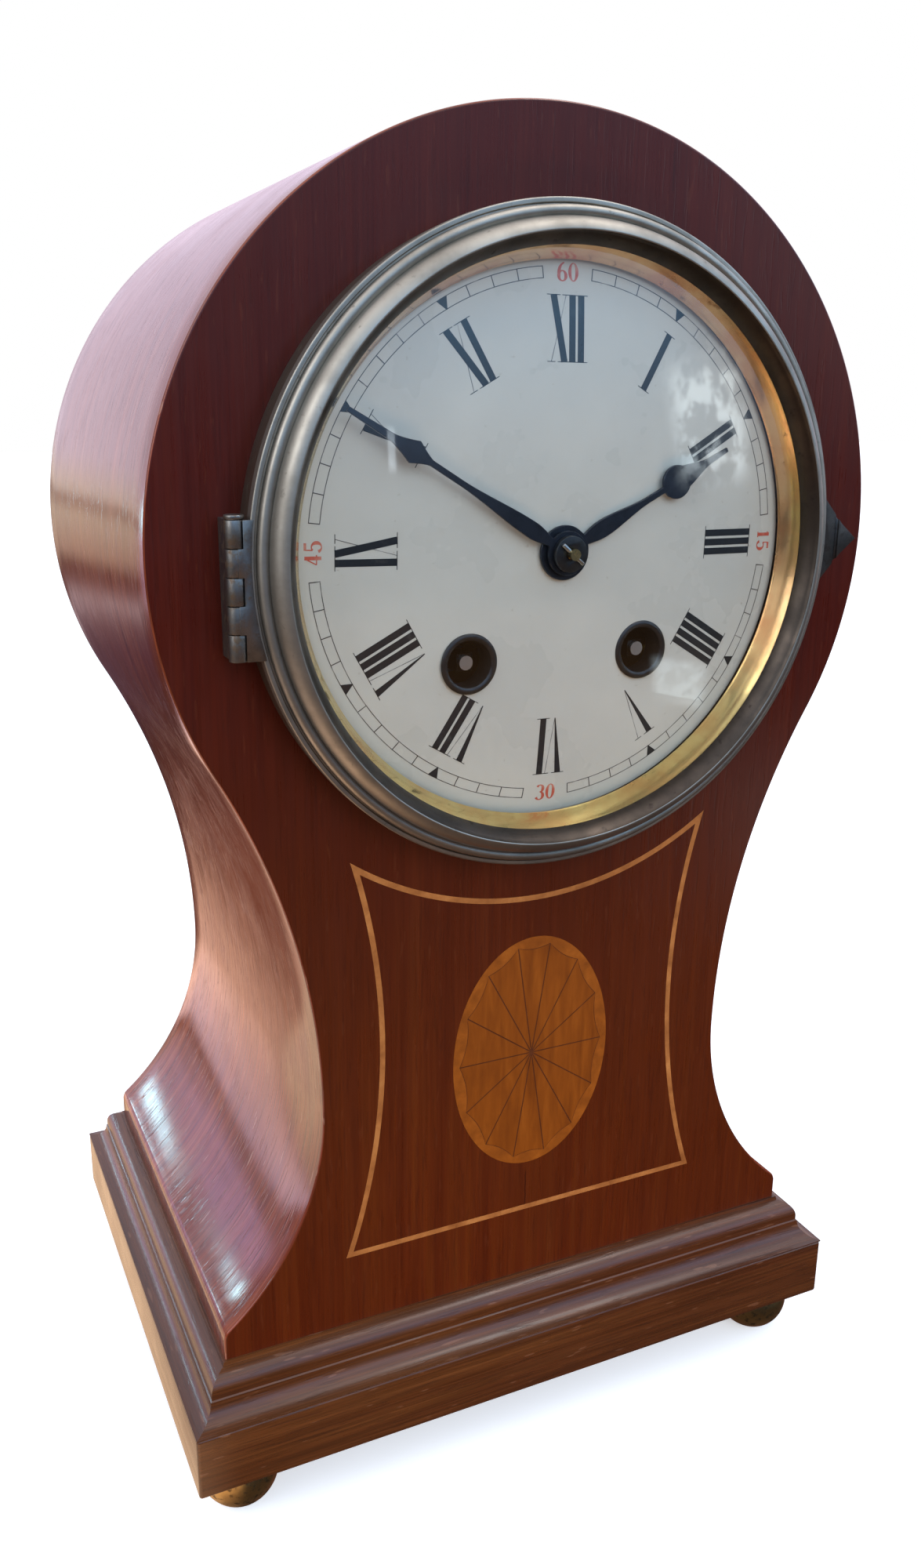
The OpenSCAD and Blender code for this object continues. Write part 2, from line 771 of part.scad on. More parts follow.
// Pointed finger tab at three o'clock
module thumb_tab() {
    tab_t = 1.5;
    shoulder_out = bezel_r + tab_out * 0.55;
    shoulder_w = tab_w * 0.16;
    groove_r = 0.5;
    root = bezel_r - tab_t;
    color([0.40, 0.34, 0.27]) dial_frame() translate([0, 0, bezel_back + 2 * face_gap]) difference() {
        linear_extrude(tab_t) difference() {
            polygon([
                [root, -tab_w / 2], [shoulder_out, -shoulder_w], [bezel_r + tab_out, 0],
                [shoulder_out, shoulder_w], [root, tab_w / 2]
            ]);
            circle(bezel_r + seat_gap);
        }
        translate([bezel_r + tab_out * 0.4, 0, tab_t]) rotate([90, 0, 0])
            cylinder(r = groove_r, h = tab_w, center = true);
    }
}

// Frame at the foot of the bezel's hinge, y along its pin
module at_hinge() {
    dial_frame() translate([hinge_x, hinge_rise - hinge_len / 2, hinge_out]) children();
}

module hinge_line(r, past) {
    translate([0, -past, 0]) rotate([-90, 0, 0]) cylinder(r = r, h = hinge_len + 2 * past);
}

// Every other knuckle of the hinge
module hinge_barrel(first, r, ends) {
    for (i = [first : 2 : knuckle_count - 1])
        translate([0, i * knuckle_len + ends, 0]) rotate([-90, 0, 0])
            cylinder(r = r, h = knuckle_len - 2 * ends);
}

// Leaf on the fixed ring's edge, under the odd knuckles that it carries
module hinge_ring_leaf() {
    leaf_t = 1.2;
    color([0.36, 0.30, 0.22]) difference() {
        union() {
            at_hinge() hinge_barrel(0, knuckle_r, knuckle_gap);
            difference() {
                at_hinge() translate([-leaf_t, knuckle_gap, -hinge_out])
                    cube([leaf_t + leaf_reach, hinge_len - 2 * knuckle_gap, hinge_out]);
                dial_frame() translate([0, 0, -cut]) cylinder(r = ring_r + seat_gap, h = lip_out);
            }
        }
        at_hinge() hinge_barrel(1, knuckle_r + pass_gap, 0);
        at_hinge() hinge_line(hinge_pin_r + run_gap, cut);
    }
}

// Leaf on the bezel's edge bead, level with the tops of the even knuckles
module hinge_bezel_leaf() {
    leaf_t = 0.6;
    leaf_back = bezel_edge_out + face_gap - hinge_out;
    color([0.38, 0.32, 0.24]) difference() {
        at_hinge() difference() {
            union() {
                hinge_barrel(1, knuckle_r, knuckle_gap);
                translate([0, knuckle_gap, leaf_back])
                    cube([leaf_reach, hinge_len - 2 * knuckle_gap, leaf_t]);
            }
            hinge_barrel(0, knuckle_r + pass_gap, 0);
            hinge_line(hinge_pin_r + run_gap, cut);
        }
        dial_frame() cylinder(r = bezel_bead_x + bezel_bead_r + seat_gap, h = lip_out);
    }
}

module hinge_pin() {
    color([0.45, 0.40, 0.32]) at_hinge() {
        hinge_line(hinge_pin_r, 0);
        translate([0, hinge_len, 0]) rotate([-90, 0, 0]) cylinder(r = knuckle_r, h = hinge_pin_r);
    }
}

module winding_holes(r, front, back) {
    for (at = [going_at, strike_at])
        rod(at, r, -front, -back);
}

module dial() {
    color([0.93, 0.91, 0.84]) dial_frame() difference() {
        intersection() {
            translate([0, 0, pan_front]) cylinder(r = dial_r, h = dial_rise + dial_t + cut);
            translate([0, 0, dial_edge_out + dial_rise - dial_ball_r]) difference() {
                sphere(dial_ball_r, $fn = 360);
                sphere(dial_ball_r - dial_t, $fn = 360);
            }
        }
        cylinder(r = centre_hole_r, h = dial_edge_out + dial_rise + cut);
        winding_holes(winding_hole_r + collet_wall + seat_gap, dial_edge_out + dial_rise + cut, 0);
    }
}

module dial_pan() {
    color([0.68, 0.54, 0.30]) dial_frame() difference() {
        translate([0, 0, pan_back]) cylinder(r = ring_bore_r - seat_gap, h = pan_t);
        rod(middle, centre_hole_r, -pan_front - cut, pan_t + cut);
        winding_holes(winding_hole_r + collet_wall + seat_gap, pan_front + cut, pan_back - cut);
    }
}

module winding_collets() {
    flange_back = dial_face(norm(going_at) - collet_r) + face_gap;
    color([0.16, 0.14, 0.12]) dial_frame() difference() {
        union() {
            winding_holes(winding_hole_r + collet_wall, flange_back + collet_wall / 2, pan_back);
            winding_holes(collet_r, flange_back + collet_wall, flange_back);
        }
        winding_holes(winding_hole_r, flange_back + cut, pan_back - cut);
    }
}

module dial_feet() {
    color([0.66, 0.52, 0.30]) dial_frame()
        for (a = foot_angles)
            rod(foot_ring * turn(a), dial_foot_r, face_gap - pan_back, plate_depth);
}

hand_point = 0.25;

// Hand drawn upright from its boss: stem with a leaf, then a taper to its point
module hand_2d(reach, boss_r, stem_w, leaf_w, head_at) {
    neck = stem_w / 2;
    leaf_from = boss_r * 0.8;
    leaf_len = head_at * 0.86 - leaf_from;
    edge = [for (t = [0 : 0.125 : 1])
        [neck + leaf_w * pow(sin(180 * pow(t, 0.75)), 1.5), leaf_from + leaf_len * t]];
    last = len(edge) - 1;
    circle(boss_r);
    polygon(concat(
        edge,
        [[neck, head_at], [-neck, head_at]],
        [for (i = [last : -1 : 0]) [-edge[i].x, edge[i].y]]
    ));
    polygon([[-neck, head_at], [neck, head_at], [hand_point, reach], [-hand_point, reach]]);
}

module hour_hand_2d() {
    disc_at = 27.5;
    disc_r = 3.3;
    root_at = disc_at + disc_r * 0.8;
    root_half = 1;
    spade_at = disc_at + disc_r + 2.2;
    spade_half = 1.5;
    hand_2d(hour_len, 5.3, 1.3, 1.2, disc_at);
    translate([0, disc_at]) circle(disc_r);
    polygon([
        [-root_half, root_at], [root_half, root_at], [spade_half, spade_at],
        [hand_point, hour_len], [-hand_point, hour_len], [-spade_half, spade_at]
    ]);
}

module minute_hand_2d() {
    lozenge_at = 37.5;
    lozenge_half = 2.15;
    foot_at = lozenge_at - 3.2;
    foot_half = 0.55;
    neck_at = lozenge_at + 5;
    neck_half = 0.6;
    hand_2d(minute_len, 4.3, 2 * foot_half, 0.9, lozenge_at - 3);
    polygon([
        [-foot_half, foot_at], [foot_half, foot_at], [lozenge_half, lozenge_at], [neck_half, neck_at],
        [hand_point, minute_len], [-hand_point, minute_len],
        [-neck_half, neck_at], [-lozenge_half, lozenge_at]
    ]);
}

module hour_hand() {
    color([0.08, 0.08, 0.10]) dial_frame() translate([0, 0, hour_out]) difference() {
        linear_extrude(hand_t) rotate(-hour_angle) hour_hand_2d();
        translate([0, 0, -cut]) cylinder(r = pipe_r + lap, h = hand_t + 2 * cut);
    }
}

module minute_hand() {
    color([0.08, 0.08, 0.10]) dial_frame() translate([0, 0, minute_out]) difference() {
        linear_extrude(hand_t) rotate(-minute_angle) minute_hand_2d();
        translate([0, 0, -cut]) cylinder(r = cannon_r + lap, h = hand_t + 2 * cut);
    }
}

module cross_pin(r) {
    pin_len = 6;
    translate([0, 0, cross_pin_out]) rotate([0, 90, 30]) cylinder(r = r, h = pin_len, center = true);
}

// Collet in front of the hands and the pin through the arbor that holds it
module hand_collet() {
    collet_outer_r = 3.5;
    color([0.12, 0.12, 0.13]) dial_frame() {
        difference() {
            rod(middle, collet_outer_r, -collet_out - collet_h, -collet_out);
            rod(middle, arbor_r + run_gap, -collet_out - collet_h - cut, -collet_out + cut);
        }
        cross_pin(cross_pin_r);
    }
}

module pivot_holes(places) {
    for (at = places)
        rod(at, pivot_r + run_gap, -cut, case_depth);
}

train_arbors = [second_at, third_at, escape_at, anchor_at, strike_second_at, pin_at, fly_at, hammer_at];

module front_plate() {
    color([0.74, 0.60, 0.32]) dial_frame() difference() {
        rod(middle, plate_r, plate_depth, plate_depth + plate_t);
        pivot_holes(train_arbors);
        rod(middle, arbor_r + run_gap, 0, case_depth);
        rod(minute_at, pivot_r + run_gap, 0, case_depth);
        for (at = [going_at, strike_at])
            rod(at, square_w * 0.75 + run_gap, 0, case_depth);
        for (a = pillar_angles)
            rod(pillar_ring * turn(a), pillar_r / 2 + run_gap, 0, case_depth);
    }
    // Studs that carry the clicks
    color([0.74, 0.60, 0.32]) dial_frame() {
        rod(click_stud(going_at, 1), click_stud_r, ratchet_depth - face_gap, plate_depth + lap);
        rod(click_stud(strike_at, -1), click_stud_r, ratchet_depth - face_gap, plate_depth + lap);
    }
}

module back_plate() {
    color([0.74, 0.60, 0.32]) dial_frame() difference() {
        rod(middle, plate_r, back_plate_depth, movement_back);
        pivot_holes([second_at, third_at, escape_at, strike_second_at, pin_at, fly_at, middle]);
        for (at = [anchor_at, hammer_at])
            rod(at, arbor_r + run_gap, 0, case_depth);
        for (at = [going_at, strike_at])
            rod(at, pivot_r * 2 + run_gap, 0, case_depth);
        for (a = pillar_angles)
            rod(pillar_ring * turn(a), pillar_r / 2 + run_gap, 0, case_depth);
    }
}

module pillars() {
    color([0.70, 0.56, 0.30]) dial_frame()
        for (a = pillar_angles) {
            rod(pillar_ring * turn(a), pillar_r, plate_depth + plate_t, back_plate_depth);
            rod(pillar_ring * turn(a), pillar_r / 2, plate_depth - 1, movement_back + 1);
        }
}

// Spring barrel: a closed drum with its toothed rim at the back
module barrel(at) {
    difference() {
        union() {
            rod(at, drum_r, drum_depth, great_depth);
            slab(great_depth, great_depth + great_t) wheel_2d(barrel_teeth, barrel_module, at, 0);
        }
        rod(at, drum_r - drum_wall, drum_depth + drum_wall, great_depth + great_t - drum_wall);
        rod(at, square_w * 0.75 + pass_gap, drum_depth - cut, great_depth + great_t + cut);
    }
}

module going_barrel() {
    color([0.76, 0.60, 0.30]) dial_frame() barrel(going_at);
}

module strike_barrel() {
    color([0.76, 0.60, 0.30]) dial_frame() barrel(strike_at);
}

// Coiled spring, wound from the arbor out to the drum
module mainspring(at) {
    inner = square_w * 0.75 + pass_gap + 1.4;
    outer = drum_r - drum_wall - 0.2;
    steps = spring_turns * 20;
    pitch = (outer - inner - spring_t) / steps;
    slab(drum_depth + drum_wall + pass_gap, great_depth + great_t - drum_wall - pass_gap)
        translate(at) polygon(concat(
            [for (i = [0 : steps]) (inner + i * pitch) * turn(i * 18)],
            [for (i = [steps : -1 : 0]) (inner + i * pitch + spring_t) * turn(i * 18)]
        ));
}

module going_mainspring() {
    color([0.25, 0.27, 0.32]) dial_frame() mainspring(going_at);
}

module strike_mainspring() {
    color([0.25, 0.27, 0.32]) dial_frame() mainspring(strike_at);
}

ratchet_teeth = 16;
ratchet_r = 7;

// Winding arbor with its square in front and its ratchet wheel before the plate
module winding_arbor(at) {
    journal_r = square_w * 0.75;
    tip_r = square_w * 0.42;
    tip_h = 0.8;
    tip_front = square_sunk - dial_face(norm(at));
    rod(at, tip_r, tip_front, tip_front + tip_h + cut);
    slab(tip_front + tip_h, ratchet_depth) translate(at) square(square_w, center = true);
    rod(at, journal_r, ratchet_depth, great_depth + great_t + 0.6);
    rod(at, pivot_r * 2, great_depth, movement_back);
    slab(ratchet_depth, ratchet_depth + ratchet_t) translate(at) polygon(
        [for (i = [0 : ratchet_teeth - 1])
            for (k = [[ratchet_r, 0], [ratchet_r - 1.2, 0.12]])
                k[0] * turn((i + k[1]) * 360 / ratchet_teeth)]);
}

module going_winding_arbor() {
    color([0.62, 0.62, 0.64]) dial_frame() winding_arbor(going_at);
}

module strike_winding_arbor() {
    color([0.62, 0.62, 0.64]) dial_frame() winding_arbor(strike_at);
}

function click_stud(at, side) = at + click_reach * [side * 0.8, 0.6];

// Click on its stud beside the ratchet, its nose just clear of the teeth
module click() {
    boss_r = 2.2;
    nose_h = 1.8;
    heel = ratchet_r + 2 * pass_gap;
    stud = click_stud(middle, 1);
    difference() {
        slab(ratchet_depth, ratchet_depth + ratchet_t) {
            translate(stud) circle(boss_r);
            polygon([
                stud + [0, boss_r * 0.9], [0, heel + nose_h], [0, ratchet_r + pass_gap],
                heel * turn(72), stud - [0, boss_r / 2]
            ]);
        }
        rod(stud, click_stud_r + run_gap, 0, plate_depth);
    }
}

module going_click() {
    color([0.55, 0.56, 0.58]) dial_frame() translate(going_at) click();
}

module strike_click() {
    color([0.55, 0.56, 0.58]) dial_frame() translate(strike_at) mirror([1, 0, 0]) click();
}

// Arbor with a toothed wheel and the pinion that drives it
module train_wheel(at, teeth, m, wheel_depth, pinion, pinion_m, pinion_depth, pinion_len, phase) {
    arbor(at);
    slab(wheel_depth, wheel_depth + wheel_t) crossed_wheel_2d(teeth, m, at, 0);
    slab(pinion_depth, pinion_depth + pinion_len) pinion_2d(pinion, pinion_m, at, phase);
}

module intermediate_wheel() {
    color([0.78, 0.63, 0.34]) dial_frame()
        train_wheel(second_at, second_teeth, second_module, second_depth, second_pinion, barrel_module,
            great_depth - pinion_past, great_t + 2 * pinion_past, second_phase);
}

module centre_wheel() {
    color([0.78, 0.63, 0.34]) dial_frame() {
        difference() {
            rod(middle, arbor_r, -arbor_out, back_plate_depth - shake);
            cross_pin(cross_pin_r + run_gap);
        }
        rod(middle, pivot_r, centre_depth, movement_back);
        slab(centre_depth, centre_depth + wheel_t) crossed_wheel_2d(centre_teeth, centre_module, middle, 0);
        slab(second_depth - pinion_past, second_depth + wheel_t + pinion_past)
            pinion_2d(centre_pinion, second_module, middle, centre_phase);
    }
}

module third_wheel() {
    color([0.78, 0.63, 0.34]) dial_frame()
        train_wheel(third_at, third_teeth, third_module, third_depth, third_pinion, centre_module,
            centre_depth - pinion_past, wheel_t + 2 * pinion_past, third_phase);
}

module escape_wheel() {
    tooth_root = escape_r - 2;
    rim_w = 0.8;
    hub_r = 2.4;
    spoke_half = 0.6;
    color([0.80, 0.66, 0.36]) dial_frame() {
        arbor(escape_at);
        slab(third_depth - pinion_past, third_depth + wheel_t + pinion_past)
            pinion_2d(escape_pinion, third_module, escape_at, escape_phase);
        slab(escape_depth, escape_depth + escape_t) translate(escape_at) difference() {
            polygon([for (i = [0 : escape_teeth - 1])
                for (k = [[tooth_root, 0], [escape_r, 0.45], [escape_r, 0.55]])
                    k[0] * turn((i + k[1]) * 360 / escape_teeth)]);
            for (i = [0 : 3])
                rotate(i * 90) intersection() {
                    difference() {
                        circle(tooth_root - rim_w);
                        circle(hub_r);
                    }
                    translate([spoke_half, spoke_half]) square(escape_r);
                }
        }
    }
}

// Anchor over the escape wheel, with the crutch behind the back plate that drives the pendulum
module anchor() {
    clear_r = escape_r + 0.7;
    hub_r = 2.6;
    arm_past = 0.6;
    crutch_len = 24;
    crutch_half = 0.9;
    fork_h = 2.8;
    fork_y = -crutch_len - fork_h / 2;
    prong_w = 1;
    prong_x = pendulum_r + pass_gap;
    color([0.50, 0.50, 0.53]) dial_frame() {
        rod(anchor_at, arbor_r, plate_depth + plate_t + shake, arm_depth + arm_t);
        rod(anchor_at, pivot_r, plate_depth, escape_depth);
        slab(escape_depth - arm_past, escape_depth + escape_t + arm_past) translate(anchor_at) difference() {
            union() {
                circle(hub_r);
                polygon([
                    [0, 2], [-escape_r * 1.02, -3.4], [-escape_r * 0.98, -6.6], [-escape_r * 0.82, -6.4],
                    [-escape_r * 0.7, -4.4], [0, -2], [escape_r * 0.7, -4.4], [escape_r * 0.82, -6.4],
                    [escape_r * 0.98, -6.6], [escape_r * 1.02, -3.4]
                ]);
            }
            translate([0, -anchor_rise]) circle(clear_r);
        }
        slab(arm_depth, arm_depth + arm_t) translate(anchor_at) {
            circle(hub_r);
            translate([-crutch_half, -crutch_len]) square([2 * crutch_half, crutch_len]);
            translate([-prong_x - prong_w, fork_y]) square([2 * (prong_x + prong_w), fork_h]);
        }
        for (x = [-prong_x - prong_w, prong_x])
            slab(arm_depth, pendulum_depth + 2 * pendulum_r)
                translate(anchor_at + [x, fork_y]) square([prong_w, fork_h]);
    }
}

motion_front = plate_depth - 6;
minute_front = plate_depth - 2 * wheel_t;

module cannon_pinion() {
    color([0.58, 0.58, 0.60]) dial_frame() difference() {
        union() {
            slab(minute_front - pinion_past, plate_depth - pass_gap)
                pinion_2d(cannon_teeth, cannon_module, middle, 0);
            rod(middle, cannon_r, face_gap - collet_out, plate_depth - 2 * pass_gap);
        }
        rod(middle, arbor_r + run_gap, -arbor_out, plate_depth + cut);
    }
}

module minute_wheel() {
    post_past = 1;
    color([0.78, 0.63, 0.34]) dial_frame() {
        slab(minute_front, minute_front + wheel_t)
            crossed_wheel_2d(minute_teeth, cannon_module, minute_at, minute_phase);
        slab(motion_front - pinion_past, minute_front + wheel_t / 2)
            pinion_2d(minute_pinion, hour_module, minute_at, 0);
        rod(minute_at, pivot_r, motion_front - post_past, plate_depth + plate_t);
    }
}

module hour_wheel() {
    color([0.78, 0.63, 0.34]) dial_frame() difference() {
        union() {
            slab(motion_front, motion_front + wheel_t) wheel_2d(hour_teeth, hour_module, middle, hour_phase);
            rod(middle, pipe_r, -hour_out - hand_t, motion_front + wheel_t);
        }
        rod(middle, cannon_r + run_gap, -arbor_out, plate_depth);
    }
}

module strike_second_wheel() {
    color([0.78, 0.63, 0.34]) dial_frame()
        train_wheel(strike_second_at, strike_teeth, second_module, second_depth, second_pinion, barrel_module,
            great_depth - pinion_past, great_t + 2 * pinion_past, strike_second_phase);
}

pin_depth = escape_depth - 2;
pin_r = 0.4;
pin_ring = pin_module * (pin_teeth / 2 + wheel_tooth[0][0]) - pin_r - pass_gap / 3;
pin_count = 8;
pin_len = 2.4;

module pin_wheel() {
    color([0.78, 0.63, 0.34]) dial_frame() {
        train_wheel(pin_at, pin_teeth, pin_module, pin_depth, pin_pinion, second_module,
            second_depth - pinion_past, wheel_t + 2 * pinion_past, pin_phase);
        for (i = [0 : pin_count - 1])
            rod(pin_at + pin_ring * turn((i + 0.5) * 360 / pin_count), pin_r,
                pin_depth + wheel_t / 2, pin_depth + wheel_t + pin_len);
    }
}

module fly() {
    vane_w = 12;
    vane_t = 0.6;
    vane_gap = 4;
    color([0.72, 0.60, 0.36]) dial_frame() {
        arbor(fly_at);
        slab(pin_depth - pinion_past, pin_depth + wheel_t + pinion_past)
            pinion_2d(fly_pinion, pin_module, fly_at, fly_phase);
        slab(plate_depth + plate_t + vane_gap, pin_depth - vane_gap)
            translate(fly_at) square([vane_w, vane_t], center = true);
    }
}

// Hammer on its arbor: lifting tail between the plates, head behind the back plate beside the bell
module hammer() {
    head_r = 3.2;
    head_len = 9;
    head_gap = 2.4;
    head_at = [bell_x - bell_r - head_r - head_gap, -bell_drop];
    hub_r = 2.4;
    arm_half = [0.9, 0];
    stem_r = 1.4;
    tail_depth = pin_depth + wheel_t + pinion_past;
    tail_len = norm(pin_at - hammer_at) - pin_ring - pin_r - pass_gap;
    color([0.66, 0.60, 0.50]) dial_frame() {
        rod(hammer_at, arbor_r, plate_depth + plate_t + shake, arm_depth + arm_t);
        rod(hammer_at, pivot_r, plate_depth, pin_depth);
        slab(tail_depth, tail_depth + arm_t) translate(hammer_at) {
            circle(hub_r);
            rotate(bearing(hammer_at, pin_at)) polygon([[0, 1], [tail_len, 0.5], [tail_len, -0.5], [0, -1]]);
        }
        slab(arm_depth, arm_depth + arm_t) {
            translate(hammer_at) circle(hub_r);
            polygon([hammer_at - arm_half, hammer_at + arm_half, head_at + arm_half, head_at - arm_half]);
            translate(head_at) circle(stem_r);
        }
        rod(head_at, stem_r, arm_depth, bell_depth);
        rod(head_at, head_r, bell_depth - head_len / 4, bell_depth + head_len * 3 / 4);
    }
}

bell_crown = bell_depth + bell_h;
bell_ball_r = (bell_r * bell_r + bell_h * bell_h) / (2 * bell_h);
post_r = 1.9;
sleeve_r = post_r + 1.2;
sleeve_end = bell_crown - bell_ball_r + sqrt(pow(bell_ball_r - bell_t, 2) - pow(sleeve_r, 2)) - face_gap;

module bell_stand() {
    flange_r = 5;
    flange_t = 1.6;
    thread_len = 3.5;
    color([0.55, 0.55, 0.57]) dial_frame() {
        rod(bell_at, flange_r, movement_back, movement_back + flange_t);
        rod(bell_at, post_r, movement_back, bell_crown + thread_len);
        rod(bell_at, sleeve_r, movement_back, sleeve_end);
    }
}

// Bell: a round cup, its mouth towards the plates
module bell() {
    color([0.78, 0.64, 0.36]) dial_frame() translate([bell_at.x, bell_at.y, -bell_crown]) rotate_extrude()
        difference() {
            intersection() {
                translate([0, bell_ball_r]) circle(bell_ball_r);
                translate([post_r + run_gap, 0]) square([bell_r + cut, bell_h]);
            }
            translate([0, bell_ball_r]) circle(bell_ball_r - bell_t);
        }
}

module bell_nut() {
    nut_r = 4;
    nut_t = 2.5;
    color([0.70, 0.56, 0.30]) dial_frame() difference() {
        rod(bell_at, nut_r, bell_crown + face_gap, bell_crown + nut_t);
        rod(bell_at, post_r + run_gap, bell_crown - cut, bell_crown + nut_t + cut);
    }
}

spring_half = 0.15;
spring_block_half = 0.9;
spring_block_h = 2.7;
spring_block_rise = 4.2;
spring_block_depth = 1.9;

// Cock on the back plate, slotted for the top of the suspension spring
module suspension_cock() {
    foot = anchor_at.y + 3.6;
    top = anchor_at.y + 9;
    cock_half = 6;
    flange_half = 10;
    flange_t = 0.9;
    slot_half = spring_block_half + 2 * pass_gap;
    slot_depth = spring_block_depth + pass_gap;
    slot_h = spring_block_rise + spring_block_h + pass_gap;
    color([0.72, 0.58, 0.32]) dial_frame() difference() {
        union() {
            slab(movement_back, pendulum_depth + spring_block_depth + 1)
                translate([-cock_half, foot]) square([2 * cock_half, top - foot]);
            slab(movement_back, movement_back + flange_t)
                translate([-flange_half, foot]) square([2 * flange_half, top - foot]);
        }
        slab(pendulum_depth - slot_depth, pendulum_depth + slot_depth)
            translate([-slot_half, anchor_at.y]) square([2 * slot_half, slot_h]);
    }
}

// Strip that bends at the anchor's axis, with a brass block at each end
module suspension_spring() {
    strip_reach = spring_block_rise + spring_block_h / 2;
    block = [2 * spring_block_half, spring_block_h];
    color([0.35, 0.36, 0.40]) dial_frame() {
        slab(pendulum_depth - spring_block_depth * 0.8, pendulum_depth + spring_block_depth * 0.8)
            translate(anchor_at - [spring_half, strip_reach]) square([2 * spring_half, 2 * strip_reach]);
        for (y = [spring_block_rise, -spring_block_rise - spring_block_h])
            slab(pendulum_depth - spring_block_depth, pendulum_depth + spring_block_depth)
                translate(anchor_at + [-spring_block_half, y]) square(block);
    }
}

module pendulum_rod() {
    foot = anchor_at.y - pendulum_len - bob_r - 6;
    hook_top = anchor_at.y - spring_block_rise - spring_block_h - face_gap;
    hook_half = 1.6;
    hook_h = 3;
    color([0.60, 0.55, 0.45]) dial_frame() {
        translate([0, foot, -pendulum_depth]) rotate([-90, 0, 0])
            cylinder(r = pendulum_r, h = hook_top - foot - hook_h / 2);
        slab(pendulum_depth - hook_half, pendulum_depth + hook_half)
            translate([-hook_half, hook_top - hook_h]) square([2 * hook_half, hook_h]);
    }
}

// Lens-shaped bob that slides on the rod
module pendulum_bob() {
    ball_r = (bob_r * bob_r + bob_t * bob_t / 4) / bob_t;
    bob_y = anchor_at.y - pendulum_len;
    color([0.78, 0.62, 0.32]) dial_frame() difference() {
        translate([0, bob_y, -pendulum_depth]) intersection() {
            translate([0, 0, ball_r - bob_t / 2]) sphere(ball_r, $fn = 180);
            translate([0, 0, bob_t / 2 - ball_r]) sphere(ball_r, $fn = 180);
            cylinder(r = bob_r - pass_gap, h = bob_t, center = true);
        }
        translate([0, bob_y - bob_r - cut, -pendulum_depth]) rotate([-90, 0, 0])
            cylinder(r = pendulum_r + run_gap, h = 2 * (bob_r + cut));
    }
}

module rating_nut() {
    top = anchor_at.y - pendulum_len - bob_r - 2 * face_gap;
    nut_r = 3.2;
    nut_t = 2.6;
    color([0.74, 0.60, 0.34]) dial_frame() translate([0, top, -pendulum_depth]) rotate([90, 0, 0])
        difference() {
            cylinder(r = nut_r, h = nut_t);
            translate([0, 0, -cut]) cylinder(r = pendulum_r + run_gap, h = nut_t + 2 * cut);
        }
}

strap_t = 1.5;
strap_w = 9;
strap_front = 1.2;
strap_back = case_depth - back_t - 2;
screw_r = 1.4;
screw_head_r = screw_r + 1;
screw_x = back_hole_r - door_t - screw_head_r - 2 * pass_gap;
ring_back = case_depth + back_ring_t;

// Straps that clamp the movement between the bezel's ring and the back ring, with their long screws
module straps() {
    outer = ring_bore_r - 0.5;
    foot = screw_x - 4;
    thread_len = 6;
    head_t = 1;
    color([0.66, 0.52, 0.30]) dial_frame()
        for (side = [-1, 1])
            mirror([side < 0 ? 1 : 0, 0]) {
                slab(strap_front, strap_back) translate([outer - strap_t, -strap_w / 2])
                    square([strap_t, strap_w]);
                slab(strap_back - strap_t, strap_back) translate([foot, -strap_w / 2])
                    square([outer - foot, strap_w]);
                rod([screw_x, 0], screw_r, strap_back - thread_len, ring_back + head_t / 2);
                rod([screw_x, 0], screw_head_r, ring_back + face_gap, ring_back + head_t);
            }
}

door_hinge_x = door_r + knuckle_r + 0.5;
door_hinge_back = ring_back + 0.9;
door_hinge_len = 21;

// Knuckles of the back door's hinge: the outer two or the middle one, with their leaf
module door_knuckles(first, leaf_front, leaf_back) {
    third = door_hinge_len / 3;
    leaf_w = 5;
    translate([door_hinge_x, -door_hinge_len / 2, -door_hinge_back]) difference() {
        for (i = [first : 2 : 2])
            translate([0, i * third + knuckle_gap, 0]) {
                rotate([-90, 0, 0]) cylinder(r = knuckle_r, h = third - 2 * knuckle_gap);
                translate([-leaf_w, 0, leaf_back])
                    cube([leaf_w, third - 2 * knuckle_gap, leaf_front - leaf_back]);
            }
        translate([0, -cut, 0]) rotate([-90, 0, 0])
            cylinder(r = hinge_pin_r + run_gap, h = door_hinge_len + 2 * cut);
    }
}

// Ring in the back aperture, with a stepped bore, the outer knuckles and the pin of the door's hinge
module back_ring() {
    leaf_front = door_hinge_back - case_depth;
    color([0.68, 0.54, 0.30]) dial_frame() {
        difference() {
            union() {
                rod(middle, door_hinge_x - knuckle_r - pass_gap, case_depth, ring_back);
                rod(middle, back_hole_r - seat_gap, case_depth - back_spigot, ring_back);
                intersection() {
                    door_knuckles(0, leaf_front, leaf_front - back_ring_t);
                    slab(case_depth, case_depth + 2 * knuckle_r) square(4 * door_r, center = true);
                }
            }
            rod(
                middle, back_hole_r - back_spigot_wall,
                case_depth - back_spigot - cut, case_depth - 2 * face_gap
            );
            rod(middle, screw_x - 2 * screw_r, case_depth - back_spigot - cut, ring_back + cut);
            for (side = [-1, 1])
                rod([side * screw_x, 0], screw_r + seat_gap, 0, ring_back + cut);
        }
        translate([door_hinge_x, -door_hinge_len / 2, -door_hinge_back]) rotate([-90, 0, 0])
            cylinder(r = hinge_pin_r, h = door_hinge_len);
    }
}

